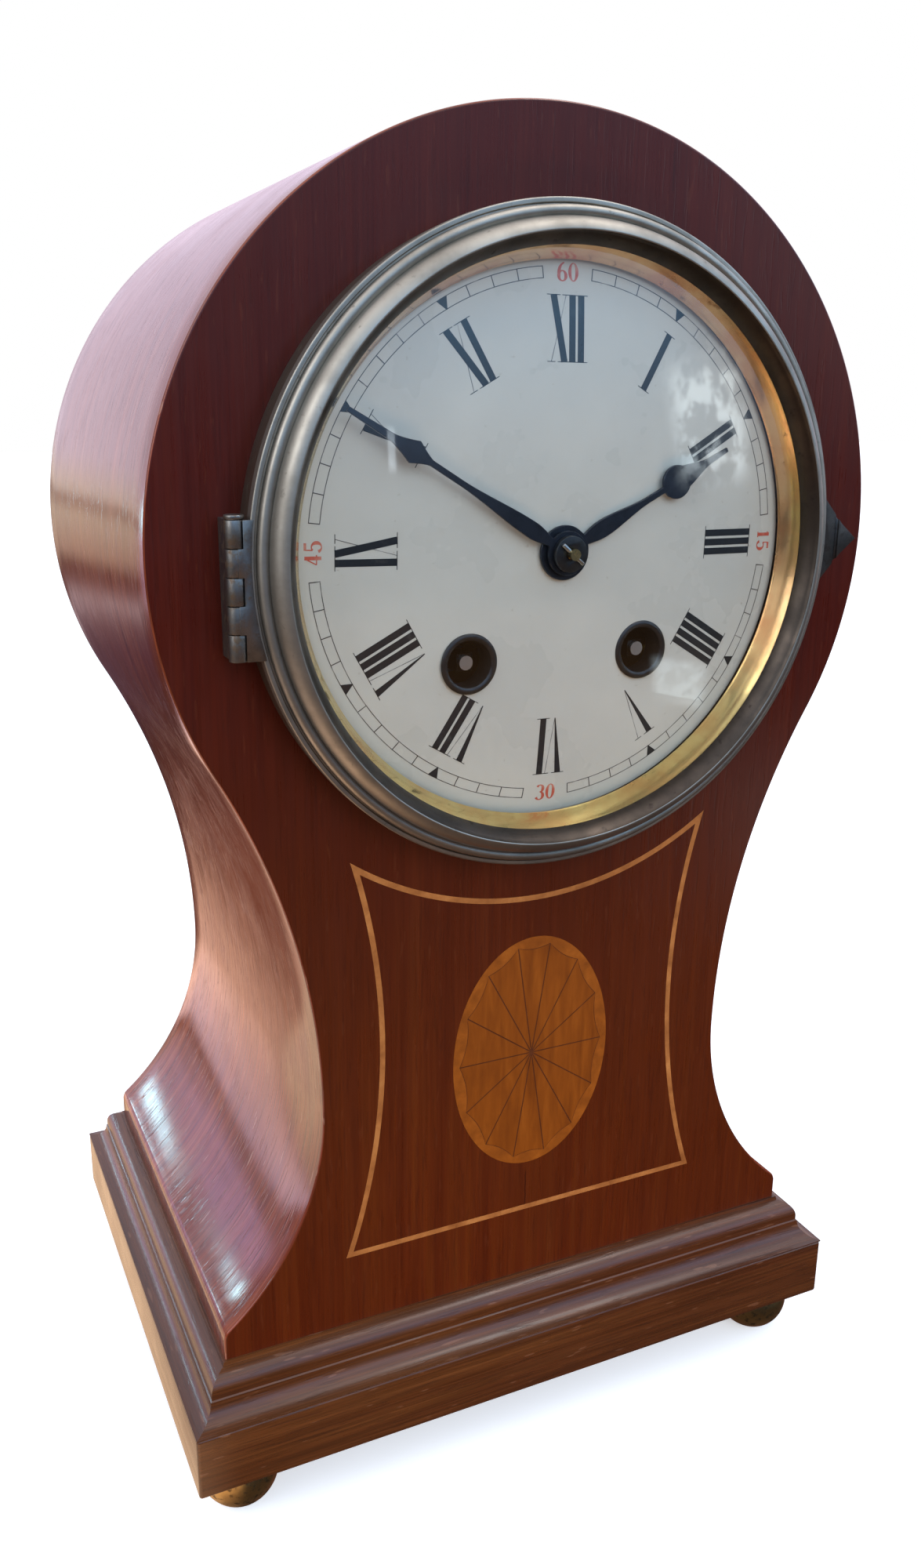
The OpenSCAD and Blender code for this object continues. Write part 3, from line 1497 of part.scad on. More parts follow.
// Dished door with a flat rim and a pull lip on its free side
module back_door() {
    rim_back = ring_back + pass_gap;
    pull_out = 3;
    pull_half = 4;
    color([0.72, 0.57, 0.30]) dial_frame() {
        difference() {
            union() {
                rod(middle, door_r, rim_back, rim_back + door_t);
                rod(middle, back_hole_r, rim_back, rim_back + door_t + door_dish);
                slab(rim_back, rim_back + door_t)
                    translate([-door_r - pull_out, -pull_half]) square(2 * [pull_out, pull_half]);
            }
            rod(middle, back_hole_r - door_t, rim_back - cut, rim_back + door_dish);
            translate([door_hinge_x, -door_hinge_len / 2 - cut, -door_hinge_back]) rotate([-90, 0, 0])
                cylinder(r = knuckle_r + pass_gap, h = door_hinge_len + 2 * cut);
        }
        door_knuckles(1, door_hinge_back - rim_back, door_hinge_back - rim_back - door_t);
    }
}

front_panel();
side_shell();
back_panel();
base_board();
plinth();
moulding_front();
moulding_sides();
bun_feet();
stringing();
fan_border();
fan_segments();
bezel_base_ring();
bezel();
sight_ring();
glass();
thumb_tab();
hinge_ring_leaf();
hinge_bezel_leaf();
hinge_pin();
dial();
dial_pan();
winding_collets();
dial_feet();
hour_hand();
minute_hand();
hand_collet();
front_plate();
back_plate();
pillars();
going_barrel();
going_mainspring();
going_winding_arbor();
going_click();
intermediate_wheel();
centre_wheel();
third_wheel();
escape_wheel();
anchor();
cannon_pinion();
minute_wheel();
hour_wheel();
strike_barrel();
strike_mainspring();
strike_winding_arbor();
strike_click();
strike_second_wheel();
pin_wheel();
fly();
hammer();
bell_stand();
bell();
bell_nut();
suspension_cock();
suspension_spring();
pendulum_rod();
pendulum_bob();
rating_nut();
straps();
back_ring();
back_door();
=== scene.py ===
import json
import math

import bmesh
import bpy
from mathutils import Matrix, Vector

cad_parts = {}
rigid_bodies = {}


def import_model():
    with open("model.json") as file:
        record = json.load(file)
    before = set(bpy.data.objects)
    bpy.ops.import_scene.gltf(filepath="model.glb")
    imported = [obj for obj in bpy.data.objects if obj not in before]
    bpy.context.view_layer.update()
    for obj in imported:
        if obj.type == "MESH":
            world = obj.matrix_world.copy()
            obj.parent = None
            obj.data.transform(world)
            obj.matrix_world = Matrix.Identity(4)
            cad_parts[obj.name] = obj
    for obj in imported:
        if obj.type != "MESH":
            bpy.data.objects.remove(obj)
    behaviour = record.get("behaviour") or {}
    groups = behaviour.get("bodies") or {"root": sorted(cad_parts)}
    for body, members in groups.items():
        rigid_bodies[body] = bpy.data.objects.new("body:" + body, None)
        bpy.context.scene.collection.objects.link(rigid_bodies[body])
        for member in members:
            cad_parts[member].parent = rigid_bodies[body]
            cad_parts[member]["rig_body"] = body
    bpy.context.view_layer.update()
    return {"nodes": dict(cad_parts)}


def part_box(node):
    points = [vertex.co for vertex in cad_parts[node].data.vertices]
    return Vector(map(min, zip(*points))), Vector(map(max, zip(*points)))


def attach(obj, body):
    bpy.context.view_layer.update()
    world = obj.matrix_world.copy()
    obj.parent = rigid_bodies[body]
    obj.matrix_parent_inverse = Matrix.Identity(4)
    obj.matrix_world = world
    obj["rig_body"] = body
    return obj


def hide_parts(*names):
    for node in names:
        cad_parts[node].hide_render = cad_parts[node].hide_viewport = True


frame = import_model()
scene = bpy.context.scene
mm = 0.001

# Boxes of the main pieces, in metres; dialHeight is in millimetres
frontLo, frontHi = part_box("front_panel")
shellLo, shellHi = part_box("side_shell")
backLo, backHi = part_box("back_panel")
dialLo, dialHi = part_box("dial")
faceY = frontLo.y
caseZ = frontLo.z
dialZ = (dialLo.z + dialHi.z) / 2
dialHeight = (dialZ - caseZ) / mm


def facePoint(x, out, z):
    # x right, out in front of the wood, z above the bottom of the case
    return Vector((x * mm, faceY - out * mm, caseZ + z * mm))


def dialPoint(x, out, z):
    return Vector((x * mm, faceY - out * mm, dialZ + z * mm))


def depthOf(y):
    return (faceY - y) / mm


def turnOf(degrees):
    a = math.radians(degrees)
    return math.cos(a), math.sin(a)


def arc(centre, radius, start, end, steps, last=True):
    count = steps + 1 if last else steps
    points = []
    for i in range(count):
        c, s = turnOf(start + (end - start) * i / steps)
        points.append((centre[0] + radius * c, centre[1] + radius * s))
    return points


# Node helpers for the materials


def newMaterial(name):
    material = bpy.data.materials.new(name)
    material.use_nodes = True
    tree = material.node_tree
    return material, tree, tree.nodes["Principled BSDF"]


def feed(tree, node, inputs):
    # links and plain values into a node's inputs
    for key, value in inputs.items():
        if isinstance(value, bpy.types.NodeSocket):
            tree.links.new(value, node.inputs[key])
        else:
            node.inputs[key].default_value = value


def addNode(tree, kind, inputs=None, **values):
    node = tree.nodes.new(kind)
    for key, value in values.items():
        setattr(node, key, value)
    feed(tree, node, inputs or {})
    return node


def objectCoords(tree):
    return addNode(tree, "ShaderNodeTexCoord").outputs["Object"]


def uvCoords(tree):
    return addNode(tree, "ShaderNodeUVMap", uv_map="veneer").outputs["UV"]


def noise(tree, coords, stretch, detail=4.0, rough=0.55, warp=0.0):
    mapped = addNode(tree, "ShaderNodeMapping", {"Vector": coords, "Scale": stretch})
    made = addNode(
        tree,
        "ShaderNodeTexNoise",
        {"Vector": mapped.outputs[0], "Scale": 1.0, "Detail": detail, "Roughness": rough, "Distortion": warp},
    )
    return made.outputs["Fac"]


def ramp(tree, value, stops):
    node = addNode(tree, "ShaderNodeValToRGB", {"Fac": value})
    band = node.color_ramp
    while len(band.elements) < len(stops):
        band.elements.new(0.5)
    for element, (place, colour) in zip(band.elements, stops):
        element.position = place
        element.color = (*colour, 1.0)
    return node.outputs["Color"]


def spread(tree, value, low, high, toLow=0.0, toHigh=1.0, kind="SMOOTHSTEP"):
    node = addNode(
        tree,
        "ShaderNodeMapRange",
        {"Value": value, "From Min": low, "From Max": high, "To Min": toLow, "To Max": toHigh},
        interpolation_type=kind,
    )
    return node.outputs["Result"]


def mixColour(tree, factor, a, b, blend="MIX"):
    a, b = ((*end, 1.0) if isinstance(end, tuple) else end for end in (a, b))
    node = addNode(tree, "ShaderNodeMix", data_type="RGBA", blend_type=blend)
    feed(tree, node, {0: factor, 6: a, 7: b})
    return node.outputs[2]


def maths(tree, operation, a, b=0.0):
    return addNode(tree, "ShaderNodeMath", {0: a, 1: b}, operation=operation).outputs[0]


def bump(tree, shader, height, strength, distance):
    node = addNode(tree, "ShaderNodeBump", {"Height": height, "Strength": strength, "Distance": distance})
    tree.links.new(node.outputs["Normal"], shader.inputs["Normal"])


def mixShaders(tree, share, first, second):
    ends = {0: share, 1: first.outputs[0], 2: second.outputs[0]}
    return addNode(tree, "ShaderNodeMixShader", ends).outputs[0]


# Wood


def crackLine(tree, x, low, high):
    # an upright shrinkage crack in the front veneer, in millimetres above the bottom of the case
    coords = objectCoords(tree)
    parts = addNode(tree, "ShaderNodeSeparateXYZ", {"Vector": coords}).outputs
    wander = maths(
        tree, "MULTIPLY", maths(tree, "SUBTRACT", noise(tree, coords, (0.0, 0.0, 260.0)), 0.5), 0.0009,
    )
    off = maths(tree, "ABSOLUTE", maths(tree, "SUBTRACT", maths(tree, "ADD", parts["X"], wander), x * mm))
    line = spread(tree, off, 0.00005, 0.00022, 0.85, 0.0)
    line = maths(tree, "MULTIPLY", line, spread(tree, parts["Z"], caseZ + low * mm, caseZ + (low + 1.5) * mm))
    return maths(
        tree, "MULTIPLY", line, spread(tree, parts["Z"], caseZ + high * mm, caseZ + (high - 1.5) * mm),
    )


def mahogany(look):
    material, tree, shader = newMaterial(look["name"])
    coords = uvCoords(tree) if look.get("veneer") else objectCoords(tree)
    across, along = look["across"], look["along"]

    def stretched(scale, length):
        return tuple(length if axis == look["grainAxis"] else scale for axis in range(3))

    bands = noise(tree, coords, stretched(across * 0.10, along * 0.6), 2.0, 0.5, 0.4)
    grain = noise(tree, coords, stretched(across, along), 5.0, 0.6, 0.3)
    fibres = noise(tree, coords, stretched(across * 8, along * 5), 3.0, 0.6)
    poreField = noise(tree, coords, stretched(across * 5, along * 14), 1.0, 0.5)
    fleckField = noise(tree, coords, stretched(across * 3.4, along * 19), 1.0, 0.4)
    pores = spread(tree, poreField, 0.60, 0.68)
    flecks = spread(tree, fleckField, 0.695, 0.74)
    colour = ramp(tree, grain, [(0.3, look["dark"]), (0.5, look["mid"]), (0.72, look["light"])])
    colour = mixColour(
        tree, spread(tree, bands, 0.32, 0.68, 0.0, look["bandShare"]), colour, look["bandColour"],
    )
    shade = spread(tree, fibres, 0.3, 0.7, 1.0 - look["fibre"], 1.0 + look["fibre"])
    colour = mixColour(tree, 1.0, colour, shade, "MULTIPLY")
    if "low" in look:
        start, end, tint = look["low"]
        height = addNode(tree, "ShaderNodeSeparateXYZ", {"Vector": coords}).outputs["Z"]
        share = spread(tree, height, caseZ + start * mm, caseZ + end * mm)
        colour = mixColour(tree, share, colour, mixColour(tree, 1.0, colour, tint, "MULTIPLY"))
    colour = mixColour(tree, maths(tree, "MULTIPLY", pores, look["poreShare"]), colour, look["poreColour"])
    colour = mixColour(tree, maths(tree, "MULTIPLY", flecks, look["fleckShare"]), colour, look["fleckColour"])
    for x, low, high in look.get("cracks", ()):
        colour = mixColour(tree, crackLine(tree, x, low, high), colour, look["poreColour"])
    wear = noise(tree, coords, (60.0, 60.0, 60.0), 4.0, 0.6)
    streaks = noise(tree, coords, stretched(across * 6, along * 1.5), 2.0, 0.6)
    dulled = mixColour(tree, 0.5, wear, streaks)
    rough = spread(tree, dulled, 0.32, 0.68, *look["rough"])
    feed(tree, shader, {"Base Color": colour, "Roughness": rough, "Specular IOR Level": look["shine"]})
    ripple = noise(tree, coords, (45.0, 45.0, 45.0), 2.0, 0.5)
    height = maths(
        tree, "ADD", maths(tree, "MULTIPLY", ripple, look["ripple"]),
        maths(tree, "MULTIPLY", streaks, look["comb"]),
    )
    height = maths(tree, "SUBTRACT", height, maths(tree, "MULTIPLY", pores, 0.15))
    bump(tree, shader, height, look["bump"], 0.0004)
    return material


frontLook = {
    "name": "mahogany_front", "grainAxis": 2, "across": 300.0, "along": 9.0,
    "dark": (0.040, 0.0032, 0.0014), "mid": (0.053, 0.0050, 0.0019), "light": (0.067, 0.0080, 0.0027),
    "bandShare": 0.7, "bandColour": (0.046, 0.0046, 0.0019), "fibre": 0.10,
    "low": (150.0, 30.0, (1.55, 2.5, 0.9)), "poreShare": 0.20, "poreColour": (0.026, 0.004, 0.002),
    "fleckShare": 0.12, "fleckColour": (0.14, 0.040, 0.016), "rough": (0.26, 0.36), "shine": 0.32,
    "ripple": 0.25, "comb": 0.05, "bump": 0.2, "cracks": [(25.5, 234.6, 243.5), (-0.6, 17.4, 27.6)],
}
sideLook = {
    "name": "mahogany_sides", "grainAxis": 0, "across": 300.0, "along": 8.0, "veneer": True,
    "dark": (0.105, 0.016, 0.007), "mid": (0.195, 0.039, 0.015), "light": (0.290, 0.076, 0.029),
    "bandShare": 0.6, "bandColour": (0.130, 0.022, 0.010), "fibre": 0.36, "poreShare": 0.45,
    "poreColour": (0.05, 0.012, 0.007), "fleckShare": 0.40, "fleckColour": (0.42, 0.24, 0.17),
    "rough": (0.09, 0.19), "shine": 0.42, "ripple": 0.9, "comb": 0.16, "bump": 0.3,
}
baseLook = {
    "name": "mahogany_base", "grainAxis": 0, "across": 280.0, "along": 8.0,
    "dark": (0.050, 0.0135, 0.0034), "mid": (0.078, 0.0235, 0.0058), "light": (0.120, 0.0400, 0.0098),
    "bandShare": 0.6, "bandColour": (0.056, 0.0140, 0.0046), "fibre": 0.25, "poreShare": 0.3,
    "poreColour": (0.026, 0.008, 0.004), "fleckShare": 0.3, "fleckColour": (0.24, 0.11, 0.06),
    "rough": (0.22, 0.34), "shine": 0.5, "ripple": 0.6, "comb": 0.12, "bump": 0.3,
}
baseSideLook = dict(baseLook, name="mahogany_base_side", grainAxis=1)
rawLook = dict(
    baseLook, name="mahogany_raw", grainAxis=2, rough=(0.6, 0.8), shine=0.2,
    mid=(0.16, 0.06, 0.03), light=(0.24, 0.10, 0.05),
)
frontWood = mahogany(frontLook)
sideWood = mahogany(sideLook)
baseWood = mahogany(baseLook)
baseSideWood = mahogany(baseSideLook)
rawWood = mahogany(rawLook)


def inlayWood(look):
    material, tree, shader = newMaterial(look["name"])
    coords = objectCoords(tree)
    grain = noise(tree, coords, look["stretch"], 5.0, 0.6, 0.3)
    colour = ramp(tree, grain, [(0.25, look["dark"]), (0.55, look["mid"]), (0.8, look["light"])])
    stain = noise(tree, coords, (90.0, 90.0, 90.0), 3.0, 0.6)
    colour = mixColour(tree, spread(tree, stain, 0.45, 0.8, 0.0, 0.45), colour, look["dark"])
    feed(tree, shader, {"Base Color": colour, "Roughness": look["rough"], "Specular IOR Level": 0.25})
    bump(tree, shader, grain, 0.12, 0.0002)
    return material


stringWood = inlayWood({
    "name": "boxwood_string", "stretch": (200.0, 200.0, 200.0), "rough": 0.42,
    "dark": (0.20, 0.065, 0.016), "mid": (0.34, 0.13, 0.035), "light": (0.46, 0.20, 0.06),
})
bladeWood = inlayWood({
    "name": "satinwood_blade", "stretch": (420.0, 420.0, 60.0), "rough": 0.40,
    "dark": (0.125, 0.028, 0.0020), "mid": (0.200, 0.049, 0.0030), "light": (0.265, 0.074, 0.0060),
})
borderWood = inlayWood({
    "name": "satinwood_border", "stretch": (260.0, 260.0, 260.0), "rough": 0.40,
    "dark": (0.155, 0.038, 0.0035), "mid": (0.240, 0.064, 0.0055), "light": (0.32, 0.096, 0.010),
})
jointWood = inlayWood({
    "name": "burnt_joint", "stretch": (300.0, 300.0, 300.0), "rough": 0.5,
    "dark": (0.05, 0.012, 0.003), "mid": (0.08, 0.02, 0.005), "light": (0.11, 0.03, 0.008),
})

# Metal, enamel, glass and ink


def oldMetal(look):
    material, tree, shader = newMaterial(look["name"])
    coords = objectCoords(tree)
    cloud = noise(tree, coords, (look["cloud"],) * 3, 5.0, 0.62)
    speck = noise(tree, coords, (look["speck"],) * 3, 3.0, 0.6)
    colour = mixColour(tree, spread(tree, cloud, 0.35, 0.7), look["bright"], look["dull"])
    tarnish = spread(tree, speck, look["tarnishFrom"], look["tarnishFrom"] + 0.16, 0.0, look["tarnishShare"])
    colour = mixColour(tree, tarnish, colour, look["tarnish"])
    if "turned" in look:  # painted reflection: the colour turns pinker up and to the right, where the brass reflects the warm wood around it
        parts = addNode(tree, "ShaderNodeSeparateXYZ", {"Vector": coords})
        paintedReflectionSide = maths(tree, "ADD", maths(tree, "MULTIPLY", parts.outputs["X"], 0.7), parts.outputs["Z"])
        start, end, tint = look["turned"]
        colour = mixColour(
            tree, spread(tree, paintedReflectionSide, start, end), colour, mixColour(tree, 1.0, colour, tint, "MULTIPLY"),
        )
    rough = spread(tree, cloud, 0.3, 0.75, *look["rough"])
    rough = maths(tree, "ADD", rough, maths(tree, "MULTIPLY", tarnish, 0.25))
    feed(tree, shader, {"Base Color": colour, "Metallic": look.get("metal", 1.0), "Roughness": rough})
    bump(tree, shader, speck, look["bump"], 0.0002)
    return material


bezelMetal = oldMetal({
    "name": "oxidised_bezel", "bright": (0.40, 0.36, 0.305), "dull": (0.265, 0.235, 0.195),
    "tarnish": (0.12, 0.10, 0.08), "cloud": 60.0, "speck": 420.0, "tarnishFrom": 0.62, "tarnishShare": 0.5,
    "rough": (0.44, 0.56), "bump": 0.08,
})
# darker bronze for the bezel's inner wall by the glass: painted shade, where the wall turns away from the
# light
bezelShadeBronze = oldMetal({
    "name": "bezel_painted_shade", "bright": (0.085, 0.065, 0.052), "dull": (0.050, 0.040, 0.033),
    "tarnish": (0.030, 0.022, 0.018), "cloud": 90.0, "speck": 420.0, "tarnishFrom": 0.6,
    "tarnishShare": 0.6, "rough": (0.32, 0.46), "bump": 0.10,
})
ringMetal = oldMetal({
    "name": "oxidised_ring", "bright": (0.34, 0.28, 0.21), "dull": (0.22, 0.18, 0.135),
    "tarnish": (0.10, 0.08, 0.06), "cloud": 70.0, "speck": 450.0, "tarnishFrom": 0.55, "tarnishShare": 0.7,
    "rough": (0.34, 0.46), "bump": 0.15,
})
# the sight ring's brass carries a painted reflection, tinted pink towards the upper right
sightBrass = oldMetal({
    "name": "sight_brass", "bright": (0.90, 0.72, 0.30), "dull": (0.78, 0.47, 0.18),
    "tarnish": (0.30, 0.19, 0.08), "cloud": 75.0, "speck": 330.0, "tarnishFrom": 0.62, "tarnishShare": 0.7,
    "rough": (0.15, 0.28), "bump": 0.12, "turned": (0.185, 0.235, (1.0, 0.78, 0.95)),
})
hingeMetal = oldMetal({
    "name": "hinge_bronze", "bright": (0.25, 0.24, 0.23), "dull": (0.15, 0.13, 0.11),
    "tarnish": (0.16, 0.085, 0.035), "cloud": 240.0, "speck": 600.0, "tarnishFrom": 0.5,
    "tarnishShare": 0.6, "rough": (0.34, 0.5), "bump": 0.2,
})
tabMetal = oldMetal({
    "name": "tab_bronze", "bright": (0.10, 0.09, 0.085), "dull": (0.06, 0.055, 0.05),
    "tarnish": (0.05, 0.035, 0.025), "cloud": 200.0, "speck": 600.0, "tarnishFrom": 0.5,
    "tarnishShare": 0.5, "rough": (0.38, 0.52), "bump": 0.15,
})
footBrass = oldMetal({
    "name": "foot_brass", "bright": (0.52, 0.36, 0.15), "dull": (0.30, 0.19, 0.08),
    "tarnish": (0.07, 0.04, 0.02), "cloud": 160.0, "speck": 520.0, "tarnishFrom": 0.5,
    "tarnishShare": 0.85, "rough": (0.26, 0.42), "bump": 0.25,
})
backBrass = oldMetal({
    "name": "back_brass", "bright": (0.66, 0.49, 0.22), "dull": (0.44, 0.31, 0.14),
    "tarnish": (0.20, 0.12, 0.05), "cloud": 45.0, "speck": 300.0, "tarnishFrom": 0.58, "tarnishShare": 0.7,
    "rough": (0.28, 0.44), "bump": 0.12,
})
plateBrass = oldMetal({
    "name": "movement_brass", "bright": (0.74, 0.56, 0.25), "dull": (0.60, 0.44, 0.19),
    "tarnish": (0.34, 0.22, 0.09), "cloud": 80.0, "speck": 400.0, "tarnishFrom": 0.62, "tarnishShare": 0.6,
    "rough": (0.22, 0.34), "bump": 0.08,
})
steel = oldMetal({
    "name": "polished_steel", "bright": (0.56, 0.56, 0.57), "dull": (0.40, 0.40, 0.41),
    "tarnish": (0.22, 0.18, 0.15), "cloud": 150.0, "speck": 500.0, "tarnishFrom": 0.6, "tarnishShare": 0.5,
    "rough": (0.22, 0.36), "bump": 0.08,
})
springSteel = oldMetal({
    "name": "spring_steel", "bright": (0.16, 0.18, 0.24), "dull": (0.10, 0.11, 0.15),
    "tarnish": (0.08, 0.06, 0.05), "cloud": 120.0, "speck": 500.0, "tarnishFrom": 0.6, "tarnishShare": 0.4,
    "rough": (0.25, 0.4), "bump": 0.08,
})
bluedSteel = oldMetal({
    "name": "blued_steel", "bright": (0.030, 0.036, 0.052), "dull": (0.018, 0.020, 0.028),
    "tarnish": (0.05, 0.04, 0.03), "cloud": 220.0, "speck": 700.0, "tarnishFrom": 0.66,
    "tarnishShare": 0.35, "rough": (0.30, 0.44), "bump": 0.08, "metal": 0.7,
})
bellMetal = oldMetal({
    "name": "bell_metal", "bright": (0.66, 0.55, 0.34), "dull": (0.52, 0.42, 0.25),
    "tarnish": (0.30, 0.22, 0.12), "cloud": 60.0, "speck": 350.0, "tarnishFrom": 0.62, "tarnishShare": 0.5,
    "rough": (0.2, 0.3), "bump": 0.06,
})
blackCollet = oldMetal({
    "name": "black_collet", "bright": (0.05, 0.05, 0.055), "dull": (0.03, 0.03, 0.032),
    "tarnish": (0.06, 0.045, 0.03), "cloud": 300.0, "speck": 700.0, "tarnishFrom": 0.6,
    "tarnishShare": 0.5, "rough": (0.28, 0.42), "bump": 0.1, "metal": 0.8,
})


def enamelGlaze():
    material, tree, shader = newMaterial("dial_enamel")
    coords = objectCoords(tree)
    cloud = noise(tree, coords, (38.0, 38.0, 38.0), 4.0, 0.6)
    specks = noise(tree, coords, (900.0, 900.0, 900.0), 2.0, 0.5)
    colour = ramp(tree, cloud, [(0.3, (0.458, 0.460, 0.435)), (0.7, (0.518, 0.515, 0.48))])
    colour = mixColour(tree, spread(tree, specks, 0.70, 0.78, 0.0, 0.4), colour, (0.30, 0.26, 0.20))
    rough = spread(tree, cloud, 0.3, 0.7, 0.24, 0.36)
    feed(tree, shader, {"Base Color": colour, "Roughness": rough, "Specular IOR Level": 0.35})
    bump(tree, shader, cloud, 0.05, 0.0003)
    return material


def inkPaint(name, fresh, worn, wornFrom):
    material, tree, shader = newMaterial(name)
    fade = noise(tree, objectCoords(tree), (260.0, 260.0, 260.0), 4.0, 0.62)
    colour = mixColour(tree, spread(tree, fade, wornFrom, wornFrom + 0.2), fresh, worn)
    feed(tree, shader, {"Base Color": colour, "Roughness": 0.42, "Specular IOR Level": 0.3})
    return material


def domeGlass():
    material, tree, shader = newMaterial("dome_glass")
    tree.nodes.remove(shader)
    clear = addNode(tree, "ShaderNodeBsdfTransparent", {"Color": (0.955, 0.965, 0.955, 1.0)})
    gloss = addNode(tree, "ShaderNodeBsdfGlossy", {"Color": (1.0, 1.0, 1.0, 1.0), "Roughness": 0.03})
    edge = addNode(tree, "ShaderNodeFresnel", {"IOR": 1.5})
    inside = addNode(tree, "ShaderNodeNewGeometry").outputs["Backfacing"]
    share = maths(tree, "MULTIPLY", edge.outputs[0], maths(tree, "SUBTRACT", 1.0, inside))
    tree.links.new(mixShaders(tree, share, clear, gloss), tree.nodes["Material Output"].inputs["Surface"])
    return material


def arborMetal(tipY):
    # bright at the tip, dark on the square inside the dial's hole, plain steel in the movement
    material, tree, shader = newMaterial("arbor_steel")
    depth = addNode(tree, "ShaderNodeSeparateXYZ", {"Vector": objectCoords(tree)}).outputs["Y"]
    colour = mixColour(
        tree, spread(tree, depth, faceY + 0.004, faceY), (0.50, 0.50, 0.51), (0.022, 0.021, 0.020),
    )
    colour = mixColour(tree, spread(tree, depth, tipY + 0.0008, tipY + 0.0005), colour, (0.78, 0.77, 0.76))
    feed(tree, shader, {"Base Color": colour, "Metallic": 1.0, "Roughness": 0.3})
    return material


enamel = enamelGlaze()
blackInk = inkPaint("black_ink", (0.012, 0.014, 0.018), (0.045, 0.048, 0.05), 0.55)
hairInk = inkPaint("hairline_ink", (0.10, 0.10, 0.105), (0.34, 0.34, 0.33), 0.42)
trackInk = inkPaint("track_ink", (0.06, 0.055, 0.055), (0.26, 0.25, 0.24), 0.5)
redInk = inkPaint("red_ink", (0.44, 0.085, 0.055), (0.50, 0.21, 0.16), 0.45)
glassClear = domeGlass()
arborSteel = arborMetal(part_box("going_winding_arbor")[0].y)
print("materials made:", len(bpy.data.materials))

# Mesh helpers

smoothAngle, mouldAngle, roundAngle, handAngle = 34.0, 30.0, 40.0, 25.0  # sharper edges than this stay hard


def settle(mesh, angle=smoothAngle):
    mesh.polygons.foreach_set("use_smooth", [True] * len(mesh.polygons))
    mesh.set_sharp_from_angle(angle=math.radians(angle))
    mesh.update()


def meshFrom(bm, name, angle=None):
    # a plain mesh with its faces outwards, smoothed where an angle is given
    bmesh.ops.recalc_face_normals(bm, faces=bm.faces[:])
    mesh = bpy.data.meshes.new(name)
    bm.to_mesh(mesh)
    bm.free()
    if angle:
        settle(mesh, angle)
    return mesh


def place(name, mesh, body, materials, stands=(), slot=None):
    piece = bpy.data.objects.new(name, mesh)
    scene.collection.objects.link(piece)
    for material in materials:
        mesh.materials.append(material)
    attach(piece, body)
    if stands:
        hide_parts(*stands)
    return piece


def paint(node, material):
    # a CAD node that shows as it is, with a new finish
    slots = frame["nodes"][node].data.materials
    slots.clear()
    slots.append(material)


def bridge(bm, first, second):
    count = len(first)
    for i in range(count):
        j = (i + 1) % count
        bm.faces.new((first[i], first[j], second[j], second[i]))


def loft(bm, rows):
    # skin over a run of equal loops, closed at both ends
    for first, second in zip(rows, rows[1:]):
        bridge(bm, first, second)
    bm.faces.new(rows[0])
    bm.faces.new(list(reversed(rows[-1])))


def revolve(name, profile, toPoint=dialPoint, steps=288):
    # profile: closed loop of (radius, out), turned about the dial's axis
    bm = bmesh.new()
    rows = []
    for i in range(steps):
        c, s = turnOf(360.0 * i / steps)
        rows.append([bm.verts.new(toPoint(r * c, out, r * s)) for r, out in profile])
    for i in range(steps):
        bridge(bm, rows[i], rows[(i + 1) % steps])
    return meshFrom(bm, name, smoothAngle)


def plate(name, rings, levels):
    # rings: outlines as functions of an inset. levels: (out, inset) from the front to the back
    bm = bmesh.new()
    stacks = []
    for ring in rings:
        loops = [[bm.verts.new(facePoint(x, out, z)) for x, z in ring(inset)] for out, inset in levels]
        for first, second in zip(loops, loops[1:]):
            bridge(bm, first, second)
        stacks.append(loops)
    caps = []
    for level in (0, -1):
        edges = []
        for loops in stacks:
            loop = loops[level]
            for v, w in zip(loop, loop[1:] + loop[:1]):
                edges.append(bm.edges.get((v, w)) or bm.edges.new((v, w)))
        filled = bmesh.ops.triangle_fill(bm, use_beauty=True, use_dissolve=False, edges=edges)
        caps += [f for f in filled["geom"] if isinstance(f, bmesh.types.BMFace)]
    bm.faces.index_update()
    capSet = {f.index for f in caps}
    mesh = meshFrom(bm, name, smoothAngle)
    for polygon in mesh.polygons:
        isCap = polygon.index in capSet
        polygon.use_smooth = not isCap
        polygon.material_index = 0 if isCap else 1
    return mesh


def circleRing(radius, height, steps=192):
    # a round hole, the same at every level
    points = arc((0.0, height), radius, 0.0, 360.0, steps, last=False)
    return lambda inset: points


def evaluated(piece, name):
    # the piece with its modifiers applied, as a plain mesh
    bpy.context.view_layer.update()
    mesh = bpy.data.meshes.new_from_object(piece.evaluated_get(bpy.context.evaluated_depsgraph_get()))
    mesh.name = name
    bpy.data.objects.remove(piece)
    return mesh


def looseObject(name, mesh):
    loose = bpy.data.objects.new(name, mesh)
    scene.collection.objects.link(loose)
    return loose


def rodMesh(name, start, end, radius, steps=64):
    # round bar between two points, for cutting
    bm = bmesh.new()
    axis = end - start
    bmesh.ops.create_cone(
        bm, cap_ends=True, segments=steps, radius1=radius, radius2=radius, depth=axis.length,
    )
    turn = axis.to_track_quat("Z", "Y").to_matrix().to_4x4()
    bmesh.ops.transform(bm, matrix=Matrix.Translation((start + end) / 2) @ turn, verts=bm.verts[:])
    return meshFrom(bm, name)


def drilled(name, mesh, rods):
    loose = looseObject(name, mesh)
    cutters = []
    for i, (start, end, radius) in enumerate(rods):
        cutter = looseObject(f"{name}Cutter{i}", rodMesh("cutter", start, end, radius))
        modifier = loose.modifiers.new("hole", "BOOLEAN")
        modifier.operation, modifier.solver, modifier.object = "DIFFERENCE", "EXACT", cutter
        cutters.append(cutter)
    made = evaluated(loose, name)
    for cutter in cutters:
        bpy.data.objects.remove(cutter)
    return made


